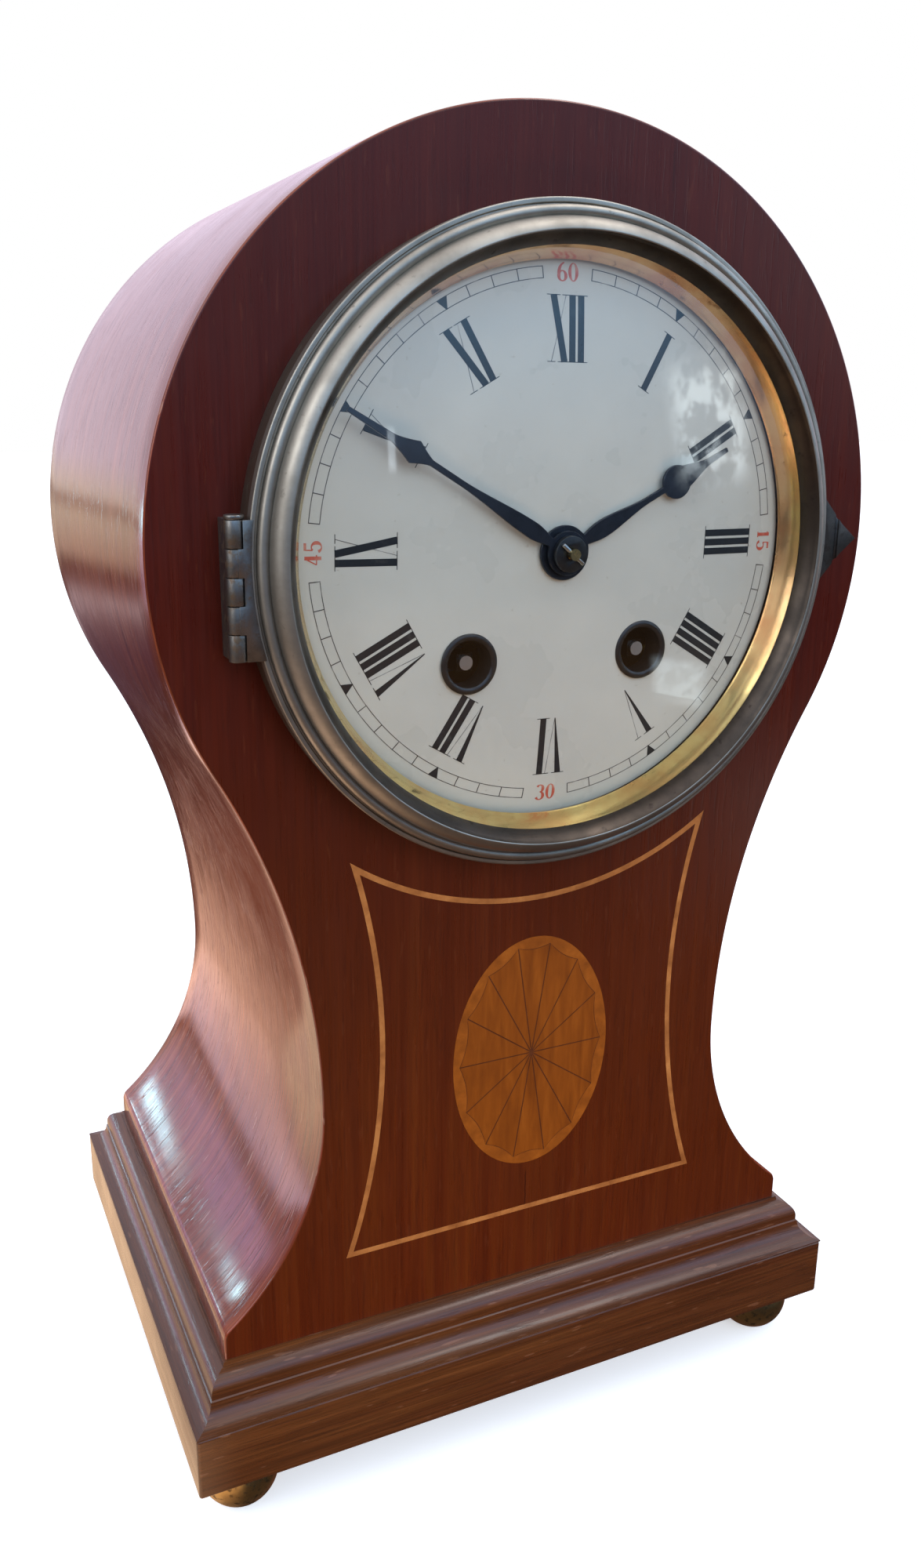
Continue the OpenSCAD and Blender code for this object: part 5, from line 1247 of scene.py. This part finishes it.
def drawNumeral(heavy, light, figure, clockAngle):
    n = numeralShape
    low, high, bar, hair, thinEnd = n["inner"], n["outer"], n["bar"], n["hair"], n["hairSerif"]
    gap = bar * n["gap"]
    wide = {"I": n["pitch"], "V": n["vWidth"] + gap, "X": n["xWidth"] + gap}
    toDial = onDial(clockAngle)
    left = -sum(wide[letter] for letter in figure) / 2
    tops, feet = [], []
    for letter in figure:
        mid = left + wide[letter] / 2
        if letter == "I":
            heavy.bar((mid, low), (mid, high), bar, bar, toDial)
            tops.append((mid, bar))
            feet.append((mid, bar))
        elif letter == "V":
            half = n["vWidth"] / 2
            heavyFoot, lightFoot = n["vFeet"]
            heavy.bar((mid + heavyFoot, low), (mid - half, high), n["vTip"], bar, toDial)
            light.bar((mid + lightFoot, low), (mid + half, high), hair, hair, toDial)
            tops += [(mid - half, bar), (mid + half, thinEnd)]
        else:
            half = n["xWidth"] / 2
            lean = half * n["xLean"]
            hairFoot, hairTop = (half * share for share in n["xHair"])
            heavy.bar((mid + lean, low), (mid - lean, high), bar, bar, toDial)
            light.bar((mid + hairFoot, low), (mid + hairTop, high), hair, hair, toDial)
            feet += [(mid + lean, bar), (mid + hairFoot, thinEnd)]
            tops += [(mid - lean, bar), (mid + half, thinEnd)]
        left += wide[letter]
    for places, y in ((tops, high), (feet, low)):
        for start, end in joinRuns(places):
            heavy.bar((start - n["serifOut"], y), (end + n["serifOut"], y), n["serif"], n["serif"], toDial, 4)


def joinRuns(places):
    # serifs of neighbouring strokes run together
    runs = []
    for mid, wide in sorted(places):
        a, b = mid - wide / 2, mid + wide / 2
        if runs and a - runs[-1][1] < numeralShape["serifJoin"]:
            runs[-1][1] = max(runs[-1][1], b)
        else:
            runs.append([a, b])
    return runs


heavyInk, lightInk = Ink(), Ink(0.03)
for i, figure in enumerate(hours):
    drawNumeral(heavyInk, lightInk, figure, 30.0 * (i + 1))
place("hourFigures", heavyInk.mesh("hourFigures"), "clock", [blackInk], (), "enamel")
place("hourHairlines", lightInk.mesh("hourHairlines"), "clock", [hairInk], (), "enamel")

trackShape = {
    "inner": 49.2, "outer": 51.25, "line": 0.15, "tick": 0.19, "thick": 0.06, "gap": 6.0, "steps": 52,
    "mark": 1.15, "markTip": 0.16, "markIn": 0.1, "figureH": 3.5, "figureW": 2.1, "figurePitch": 1.12,
}


def tickTree(sizes):
    # minute strokes round the track, without the fifths, which have their own marks
    tree, keys, given = startTree("minuteTicks", sizes)
    circle = addNode(tree, "GeometryNodeMeshCircle", {"Vertices": 60, "Radius": given["Radius"]})
    size = addNode(tree, "ShaderNodeCombineXYZ", {
        "X": given["Length"], "Y": given["Width"], "Z": given["Thickness"],
    })
    stroke = addNode(tree, "GeometryNodeMeshCube", {"Size": size.outputs[0], "Vertices X": 5})
    spot = addNode(tree, "GeometryNodeInputPosition")
    turn = addNode(tree, "FunctionNodeAlignRotationToVector", {"Vector": spot.outputs[0]}, axis="X")
    index = addNode(tree, "GeometryNodeInputIndex")
    keep = maths(tree, "GREATER_THAN", maths(tree, "MODULO", index.outputs[0], 5.0), 0.5)
    spots = addNode(tree, "GeometryNodeInstanceOnPoints", {
        "Points": circle.outputs["Mesh"], "Selection": keep, "Instance": stroke.outputs["Mesh"],
        "Rotation": turn.outputs[0],
    })
    endTree(tree, spots, trackInk)
    return tree, keys


def layOnDial(mesh):
    # from a flat drawing, x right and y up, onto the dome
    for vertex in mesh.vertices:
        lift = vertex.co.z / mm
        x, z = printed(vertex.co.x / mm, vertex.co.y / mm)
        vertex.co = dialPoint(x, domeOut(x, z) + lift, z)
    mesh.update()


tickSizes = {
    "Radius": (trackShape["inner"] + trackShape["outer"]) / 2 * mm,
    "Length": (trackShape["outer"] - trackShape["inner"] + trackShape["line"]) * mm,
    "Width": trackShape["tick"] * mm,
    "Thickness": trackShape["thick"] * mm,
}
ticksMesh = grown("minuteTicks", bpy.data.meshes.new("ticksStart"), *tickTree(tickSizes), tickSizes)
layOnDial(ticksMesh)
place("minuteTicks", ticksMesh, "clock", [trackInk], (), "enamel")

trackLines, trackMarks, redFigures = Ink(0.028), Ink(), Ink()
trackIn, trackOut, trackGap, trackSteps = (trackShape[key] for key in ("inner", "outer", "gap", "steps"))
for quarter in range(4):
    for radius in (trackIn, trackOut):
        inside, outside = radius - trackShape["line"] / 2, radius + trackShape["line"] / 2
        pairs = []
        for i in range(trackSteps + 1):
            x, z = onDial(90.0 * quarter + trackGap + (90.0 - 2 * trackGap) * i / trackSteps)(0.0, 1.0)
            pairs.append(((x * inside, z * inside), (x * outside, z * outside)))
        trackLines.strip(pairs)
    for minute in (5, 10):
        toDial = onDial(90.0 * quarter + 6.0 * minute)
        foot, top = (0.0, trackIn - trackShape["markIn"]), (0.0, trackOut)
        trackMarks.bar(foot, top, trackShape["markTip"], 2 * trackShape["mark"], toDial, 3)
place("minuteTrack", trackLines.mesh("minuteTrack"), "clock", [trackInk], (), "enamel")
place("fiveMinuteMarks", trackMarks.mesh("fiveMinuteMarks"), "clock", [blackInk], (), "enamel")

thin, fat = 0.10, 0.32  # stroke widths as a share of a figure's width
figureHigh, figureMiddle = 1.65, 0.82  # in the same share


def bowl(centre, rx, ry, start, end, steps=24):
    # curved stroke, thin where it runs level and fat where it runs upright
    points, widths = [], []
    for i in range(steps + 1):
        c, s = turnOf(start + (end - start) * i / steps)
        points.append((centre[0] + rx * c, centre[1] + ry * s))
        widths.append(thin + (fat - thin) * c * c)
    return points, widths


def line(a, b, width):
    return [a, ((a[0] + b[0]) / 2, (a[1] + b[1]) / 2), b], [width] * 3


# each figure in a box one wide and figureHigh high
figureStrokes = {
    "0": [bowl((0.5, 0.82), 0.36, 0.74, 0, 360)],
    "1": [
        line((0.5, 0.08), (0.5, 1.55), fat), line((0.22, 0.08), (0.78, 0.08), thin),
        line((0.24, 1.28), (0.46, 1.52), thin),
    ],
    "3": [bowl((0.45, 1.20), 0.33, 0.38, 150, -80), bowl((0.45, 0.46), 0.38, 0.40, 90, -160)],
    "4": [
        line((0.62, 0.08), (0.62, 1.55), fat), line((0.06, 0.50), (0.92, 0.50), thin),
        line((0.60, 1.55), (0.06, 0.50), thin),
    ],
    "5": [
        bowl((0.44, 0.50), 0.38, 0.44, 130, -160), line((0.18, 0.85), (0.20, 1.52), thin),
        line((0.18, 1.50), (0.80, 1.50), fat * 0.7),
    ],
    "6": [bowl((0.5, 0.48), 0.36, 0.42, 0, 360), bowl((0.82, 0.72), 0.66, 0.86, 182, 100)],
}


def drawFigure(text, clockAngle, flip):
    wide, high = trackShape["figureW"], trackShape["figureH"] / figureHigh
    toDial = onDial(clockAngle, flip)
    pitch = wide * trackShape["figurePitch"]
    middle = (trackIn + trackOut) / 2
    for i, letter in enumerate(text):
        left = (i - len(text) / 2) * pitch + (pitch - wide) / 2
        for points, widths in figureStrokes[letter]:
            placed = []
            for x, y in points:
                up = (y - figureMiddle) * high
                placed.append((left + x * wide, middle + (-up if flip else up)))
            redFigures.ribbon(placed, [w * wide for w in widths], toDial)


for text, clockAngle, flip in (
    ("60", 0.0, False), ("15", 90.0, False), ("30", 180.0, True), ("45", 270.0, False),
):
    drawFigure(text, clockAngle, flip)
place("quarterFigures", redFigures.mesh("quarterFigures"), "clock", [redInk], (), "enamel")
print("dial drawn")

# Winding holes, hands and the centre

colletShape = {
    "bore": 4.6, "tube": 5.1,
    # radius and height over the enamel, from the tube over the lip to the bore
    "lip": [
        (5.1, 0.03), (5.75, 0.03), (6.0, 0.12), (6.0, 0.28), (5.8, 0.5), (5.4, 0.62), (5.0, 0.56),
        (4.7, 0.36), (4.6, 0.1),
    ],
}
colletBack = depthOf(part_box("winding_collets")[1].y)


def colletProfile(x, z):
    face = domeOut(x, z)
    back = [(colletShape["bore"], colletBack), (colletShape["tube"], colletBack)]
    return back + [(r, face + up) for r, up in colletShape["lip"]]


colletBm = bmesh.new()
for x, z in windPlaces:
    part = revolve(
        "collet", colletProfile(x, z), lambda px, out, pz, x=x, z=z: dialPoint(px + x, out, pz + z), 96,
    )
    colletBm.from_mesh(part)
colletMesh = bpy.data.meshes.new("windingCollets")
colletBm.to_mesh(colletMesh)
colletBm.free()
settle(colletMesh)
place("windingCollets", colletMesh, "clock", [blackCollet], ["winding_collets"], "blued_steel")

handShape = {
    "minute": {
        "angle": 301.1, "reach": 52.0, "boss": 4.3, "stem": 0.55, "leaf": 1.05, "leafAt": 9.0, "leafTo": 27.0,
        "tip": 0.45, "bow": 0.9, "bowFrom": 34.0, "node": "minute_hand", "hole": 1.81,
        "spadeFrom": 33.6, "spadeAt": 37.5, "spadeTo": 42.6, "spade": 1.65, "neck": 0.72,
    },
    "hour": {
        "angle": 63.0, "reach": 41.6, "boss": 5.3, "stem": 0.62, "leaf": 1.15, "leafAt": 9.5, "leafTo": 21.0,
        "tip": 0.42, "bow": 0.3, "bowFrom": 26.0, "node": "hour_hand", "hole": 2.51,
        "discAt": 28.3, "disc": 3.3, "tail": 1.75, "tailFor": 8.0, "tipFor": 4.5,
    },
}
handCut = {"edge": 0.13, "step": 0.3, "least": 0.02, "leafFrom": 2.0}


def smooth(t):
    t = min(1.0, max(0.0, t))
    return t * t * (3 - 2 * t)


def leafWidth(hand, r):
    h = handShape[hand]
    start = handCut["leafFrom"]
    if r <= h["leafAt"]:
        return h["stem"] + h["leaf"] * smooth((r - start) / (h["leafAt"] - start))
    return h["stem"] + h["leaf"] * (1 - smooth((r - h["leafAt"]) / (h["leafTo"] - h["leafAt"])))


def minuteWidth(r):
    # slim leaf, then a spade and a narrow tip
    h = handShape["minute"]
    start, widest, end, neck = h["spadeFrom"], h["spadeAt"], h["spadeTo"], h["neck"]
    if r <= start:
        return leafWidth("minute", r)
    if r < widest:
        return h["stem"] + h["spade"] * ((r - start) / (widest - start)) ** 1.25
    if r < end:
        return neck + (h["stem"] + h["spade"] - neck) * (1 - (r - widest) / (end - widest)) ** 1.35
    return neck + (h["tip"] - neck) * (r - end) / (h["reach"] - end)


def hourWidth(r):
    # slim leaf, then a disc with a drawn-out tip
    h = handShape["hour"]
    wide = leafWidth("hour", r)
    disc = h["disc"] ** 2 - (r - h["discAt"]) ** 2
    past = r - h["discAt"] - 1.0
    if past >= h["tailFor"]:
        wide = h["stem"] + (h["tip"] - h["stem"]) * (past - h["tailFor"]) / h["tipFor"]
    elif past > 0:
        wide = h["stem"] + h["tail"] * (1 - smooth(past / h["tailFor"]))
    return max(wide, math.sqrt(disc) if disc > 0 else 0.0)


def handMesh(hand, widthAt):
    h = handShape[hand]
    lo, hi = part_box(h["node"])
    back, front = depthOf(hi.y), depthOf(lo.y)
    edge, least = handCut["edge"], handCut["least"]
    toDial = onDial(h["angle"])
    bm = bmesh.new()
    rows = []
    count = int((h["reach"] + h["boss"]) / handCut["step"])
    for i in range(count + 1):
        r = -h["boss"] + least + (h["reach"] + h["boss"] - least) * i / count
        ring = h["boss"] ** 2 - r * r
        wide = math.sqrt(ring) if ring > 0 else 0.0
        if r > 0:
            wide = max(wide, widthAt(r))
        inner = max(wide - edge, least)
        dip = h["bow"] * (max(0.0, r - h["bowFrom"]) / (h["reach"] - h["bowFrom"])) ** 2
        row = []
        for x, out in (
            (-wide, back), (-wide, front - edge), (-inner, front), (inner, front), (wide, front - edge),
            (wide, back),
        ):
            px, pz = toDial(x, r)
            row.append(bm.verts.new(dialPoint(px, out - dip, pz)))
        rows.append(row)
    loft(bm, rows)
    hole = (dialPoint(0, front + 1, 0), dialPoint(0, back - 1, 0), h["hole"] * mm)
    mesh = drilled(hand + "Hand", meshFrom(bm, hand + "Hand"), [hole])
    settle(mesh, handAngle)
    return place(hand + "Hand", mesh, h["node"], [bluedSteel], [h["node"]], "blued_steel")


handMesh("minute", minuteWidth)
handMesh("hour", hourWidth)
collet = dressed("hand_collet", "handCollet", [blackCollet, steel], 0.18, "blued_steel")
pinShape = {"thick": 0.82, "turn": 71.0}
pinBack = depthOf(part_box("hand_collet")[0].y) - pinShape["thick"]
pinTurn = Matrix.Rotation(math.radians(pinShape["turn"]), 4, "Y")
toAxis = Matrix.Translation(dialPoint(0.0, 0.0, 0.0))
collet.data.transform(toAxis @ pinTurn @ toAxis.inverted())
for polygon in collet.data.polygons:
    polygon.material_index = 1 if depthOf(polygon.center.y) > pinBack else 0
print("hands made")

# Movement and back, shown when the doors stand open

finishes = {
    "movement": [plateBrass, [
        "front_plate", "back_plate", "pillars", "going_barrel", "strike_barrel", "intermediate_wheel",
        "centre_wheel", "third_wheel", "escape_wheel", "minute_wheel", "hour_wheel", "strike_second_wheel",
        "pin_wheel", "fly", "suspension_cock", "pendulum_rod", "pendulum_bob", "rating_nut", "bell_nut",
        "dial_feet", "dial_pan", "straps",
    ]],
    "steel": [steel, ["going_click", "strike_click", "anchor", "cannon_pinion", "hammer", "bell_stand"]],
    "springs": [springSteel, ["going_mainspring", "strike_mainspring", "suspension_spring"]],
    "bell": [bellMetal, ["bell"]],
    "arbors": [arborSteel, ["going_winding_arbor", "strike_winding_arbor"]],
}
for material, nodes in finishes.values():
    for node in nodes:
        paint(node, material)
dressed("back_ring", "backRing", [backBrass], 0.2, "back_brass")
dressed("back_door", "backDoor", [backBrass], 0.3, "back_brass")
print("movement dressed")

# Camera, floor and light

view = {
    "place": (-125.875, -222.55, 196.623), "yaw": 24.0828, "pitch": -16.2278, "roll": 0.1663,
    "focal": 1619.46, "centre": (541.18, 982.98), "frame": (1175.0, 2000.0), "sensor": 36.0,
}


def makeCamera():
    data = bpy.data.cameras.new("photoCamera")
    camera = bpy.data.objects.new("photoCamera", data)
    scene.collection.objects.link(camera)
    (cy, sy), (cp, sp), (cr, sr) = turnOf(view["yaw"]), turnOf(view["pitch"]), turnOf(view["roll"])
    forward = Vector((sy * cp, cy * cp, sp))
    level = Vector((cy, -sy, 0.0))
    upright = level.cross(forward)
    right = level * cr + upright * sr
    up = upright * cr - level * sr
    spot = Vector((view["place"][0] * mm, faceY + view["place"][1] * mm, caseZ + view["place"][2] * mm))
    camera.matrix_world = Matrix.Translation(spot) @ Matrix((right, up, -forward)).transposed().to_4x4()
    wide, tall = view["frame"]
    data.sensor_width = view["sensor"]
    data.lens = view["focal"] * view["sensor"] / tall
    data.shift_x = (wide / 2 - view["centre"][0]) / tall
    data.shift_y = (view["centre"][1] - tall / 2) / tall
    data.clip_start, data.clip_end = 0.01, 50.0
    scene.camera = camera


makeCamera()

floorMesh = bpy.data.meshes.new("floor")
floorMesh.from_pydata([(-6, -6, 0), (6, -6, 0), (6, 6, 0), (-6, 6, 0)], [], [(0, 1, 2, 3)])
floor = looseObject("floor", floorMesh)
floorMaterial, floorTree, floorShader = newMaterial("pale_floor")
feed(floorTree, floorShader, {
    "Base Color": (0.80, 0.80, 0.80, 1.0), "Roughness": 0.9, "Specular IOR Level": 0.1,
    "Emission Color": (1.0, 1.0, 1.0, 1.0), "Emission Strength": 0.45,
})
floorMesh.materials.append(floorMaterial)
floor.visible_glossy = False
floor.visible_diffuse = False

# colours of the room by the height of the view, from straight down to straight up
room = {
    "back": [
        (-1.0, (0.12, 0.06, 0.04)), (-0.44, (0.24, 0.08, 0.05)), (-0.38, (0.12, 0.04, 0.03)),
        (-0.31, (0.05, 0.02, 0.02)), (-0.25, (0.09, 0.05, 0.08)), (-0.22, (0.20, 0.12, 0.14)),
        (-0.195, (0.62, 0.44, 0.46)), (-0.17, (0.24, 0.12, 0.11)), (-0.15, (0.16, 0.07, 0.06)),
        (-0.125, (0.70, 0.46, 0.34)), (-0.07, (0.95, 0.74, 0.56)), (-0.045, (0.52, 0.34, 0.26)),
        (-0.03, (1.25, 1.02, 0.86)), (0.03, (1.28, 1.08, 1.26)), (0.28, (1.10, 0.98, 1.24)),
        (1.0, (1.45, 1.46, 1.54)),
    ],
    "left": [
        (-1.0, (0.16, 0.11, 0.08)), (-0.35, (0.16, 0.13, 0.115)), (-0.10, (0.15, 0.155, 0.17)),
        (0.15, (0.22, 0.235, 0.27)), (0.5, (0.70, 0.74, 0.84)), (1.0, (1.40, 1.43, 1.50)),
    ],
    "front": [
        (-1.0, (0.10, 0.07, 0.055)), (-0.5, (0.07, 0.045, 0.035)), (-0.16, (0.015, 0.018, 0.024)),
        (-0.02, (0.03, 0.05, 0.09)), (0.10, (0.22, 0.31, 0.48)), (0.18, (0.42, 0.58, 0.88)),
        (0.45, (0.70, 1.40, 2.30)), (0.62, (1.00, 1.22, 1.55)), (1.0, (1.40, 1.42, 1.50)),
    ],
    "strength": 1.0,
}


def makeRoom():
    # soft room, brightest behind and overhead, dark low in front
    world = bpy.data.worlds.new("softRoom")
    scene.world = world
    world.use_nodes = True
    tree = world.node_tree
    tree.nodes.clear()
    way = addNode(tree, "ShaderNodeTexCoord").outputs["Generated"]
    parts = addNode(tree, "ShaderNodeSeparateXYZ", {"Vector": way}).outputs
    height = spread(tree, parts["Z"], -1.0, 1.0, kind="LINEAR")
    walls = {}
    for side in ("back", "left", "front"):
        walls[side] = ramp(tree, height, [((rise + 1) / 2, colour) for rise, colour in room[side]])
    colour = mixColour(tree, spread(tree, parts["Y"], -0.1, 0.45), walls["front"], walls["back"])
    colour = mixColour(tree, spread(tree, parts["X"], -0.45, -0.85), colour, walls["left"])
    glow = addNode(tree, "ShaderNodeBackground", {"Color": colour, "Strength": room["strength"]})
    white = addNode(tree, "ShaderNodeBackground", {"Color": (1.0, 1.0, 1.0, 1.0), "Strength": 1.0})
    seen = addNode(tree, "ShaderNodeLightPath").outputs["Is Camera Ray"]
    addNode(tree, "ShaderNodeOutputWorld", {"Surface": mixShaders(tree, seen, glow, white)})


makeRoom()

lamps = {
    "window_left": {
        "place": (-1.10, -0.35, 0.75), "size": (0.6, 0.9), "power": 6.0, "colour": (0.90, 0.95, 1.0),
        "seen": True,
    },
    "front_fill": {
        "place": (0.10, -1.40, 0.70), "size": (1.2, 1.0), "power": 9.5, "colour": (1.0, 0.98, 0.97),
        "seen": False,
    },
    "table_bounce": {
        "place": (0.02, -0.30, 0.01), "size": (0.5, 0.12), "power": 0.5, "colour": (1.0, 0.55, 0.25),
        "seen": False,
    },
}
aim = Vector((0.0, 0.0, 0.14))
for name, lamp in lamps.items():
    data = bpy.data.lights.new(name, "AREA")
    data.shape = "RECTANGLE"
    data.size, data.size_y = lamp["size"]
    data.energy = lamp["power"]
    data.color = lamp["colour"]
    light = bpy.data.objects.new(name, data)
    scene.collection.objects.link(light)
    light.location = lamp["place"]
    light.visible_glossy = lamp["seen"]
    light.visible_camera = False
    light.rotation_euler = (aim - light.location).to_track_quat("-Z", "Y").to_euler()


# Cards that only reflections see: the lit table beside the clock, the window behind it and the room in front
cards = {
    "table_near": {
        "middle": (-0.185, 0.0, 0.001), "across": (0.115, 0.0, 0.0), "up": (0.0, 0.15, 0.0), "fade": 0.85,
        "colours": [(1.0, 0.78, 0.70), (1.0, 0.66, 0.40)], "level": 2.0, "patch": 9.0, "patchShare": 0.15,
    },
    "table_front": {
        "middle": (0.10, -0.55, 0.001), "across": (0.55, 0.0, 0.0), "up": (0.0, 0.42, 0.0), "fade": 0.4,
        "colours": [(1.0, 0.52, 0.24), (1.0, 0.56, 0.28)], "level": 0.35, "patch": 9.0, "patchShare": 0.2,
    },
    "table_glow": {
        "middle": (-0.195, 0.25, 0.0015), "across": (0.12, 0.0, 0.0), "up": (0.0, 0.13, 0.0), "fade": 0.7,
        "colours": [(1.0, 0.82, 1.10), (0.86, 0.46, 0.26)], "level": 3.6, "patch": 9.0, "patchShare": 0.3,
    },
    "window_glow": {
        "middle": (-0.66, 0.82, 0.13), "across": (0.26, 0.20, 0.0), "up": (0.0, 0.0, 0.22), "fade": 0.3,
        "colours": [(0.92, 0.74, 1.25), (1.0, 0.70, 1.05)], "level": 3.0, "patch": 17.0, "patchShare": 0.9,
    },
    "pane_back": {
        "middle": (-0.517, 0.812, 0.193), "across": (0.042, 0.027, 0.0), "up": (0.0, 0.0, 0.045), "fade": 0.3,
        "colours": [(0.52, 0.88, 1.0), (0.52, 0.88, 1.0)], "level": 24.0, "patch": 9.0, "patchShare": 0.0,
    },
    "pane_front": {
        "middle": (-0.640, 0.622, 0.250), "across": (0.038, 0.038, 0.0), "up": (0.0, 0.0, 0.045), "fade": 0.3,
        "colours": [(0.52, 0.88, 1.0), (0.52, 0.88, 1.0)], "level": 26.0, "patch": 9.0, "patchShare": 0.0,
    },
    "far_window": {
        "middle": (0.82, -0.64, 0.40), "across": (0.10, 0.13, 0.0), "up": (-0.03, 0.02, 0.17), "fade": 0.5,
        "colours": [(0.80, 0.93, 1.0), (0.85, 0.95, 1.0)], "level": 6.5, "patch": 14.0, "patchShare": 0.95,
    },
    "skylight": {
        "middle": (0.45, -0.20, 1.12), "across": (0.17, 0.0, 0.0), "up": (0.0, 0.42, 0.0), "fade": 0.4,
        "colours": [(1.0, 1.0, 1.0), (1.0, 0.96, 0.92)], "level": 9.0, "patch": 9.0, "patchShare": 0.3,
    },
    "slit": {
        "middle": (-0.05, -1.06, 0.40), "across": (0.014, 0.0, 0.0), "up": (0.0, 0.0, 0.075), "fade": 0.5,
        "colours": [(0.75, 0.88, 1.0), (0.75, 0.88, 1.0)], "level": 7.0, "patch": 9.0, "patchShare": 0.0,
    },
    "low_window": {
        "middle": (0.32, -0.28, 0.02), "across": (0.03, 0.045, 0.0), "up": (-0.02, 0.0, 0.04), "fade": 0.6,
        "colours": [(0.85, 0.97, 1.0), (0.85, 0.97, 1.0)], "level": 4.0, "patch": 30.0, "patchShare": 0.5,
    },
}


def makeCard(name, card):
    middle, across, up = Vector(card["middle"]), Vector(card["across"]), Vector(card["up"])
    corners = [middle - across - up, middle + across - up, middle + across + up, middle - across + up]
    mesh = bpy.data.meshes.new(name)
    mesh.from_pydata([tuple(corner) for corner in corners], [], [(0, 1, 2, 3)])
    layer = mesh.uv_layers.new(name="card")
    for loop, place in zip(layer.data, ((-1, -1), (1, -1), (1, 1), (-1, 1))):
        loop.uv = place
    material, tree, shader = newMaterial(name)
    tree.nodes.remove(shader)
    spot = addNode(tree, "ShaderNodeUVMap", uv_map="card").outputs["UV"]
    parts = addNode(tree, "ShaderNodeSeparateXYZ", {"Vector": spot}).outputs
    shown = 1.0
    for axis in ("X", "Y"):
        reach = maths(tree, "ABSOLUTE", parts[axis])
        shown = maths(tree, "MULTIPLY", shown, spread(tree, reach, card["fade"], 1.0, 1.0, 0.0))
    cloud = noise(tree, objectCoords(tree), (card["patch"],) * 3, 3.0, 0.6)
    shown = maths(tree, "MULTIPLY", shown, spread(tree, cloud, 0.42, 0.60, 1.0 - card["patchShare"], 1.0))
    colour = mixColour(tree, spread(tree, parts["X"], -1.0, 1.0, kind="LINEAR"), *card["colours"])
    glow = addNode(tree, "ShaderNodeEmission", {"Color": colour, "Strength": card["level"]})
    clear = addNode(tree, "ShaderNodeBsdfTransparent")
    tree.links.new(mixShaders(tree, shown, clear, glow), tree.nodes["Material Output"].inputs["Surface"])
    mesh.materials.append(material)
    piece = looseObject(name, mesh)
    piece.visible_camera = False
    piece.visible_diffuse = False
    piece.visible_shadow = False
    piece.visible_transmission = False
    return piece


[makeCard(name, card) for name, card in cards.items()]
scene.view_settings.view_transform = "Standard"
print("camera, floor and light set")
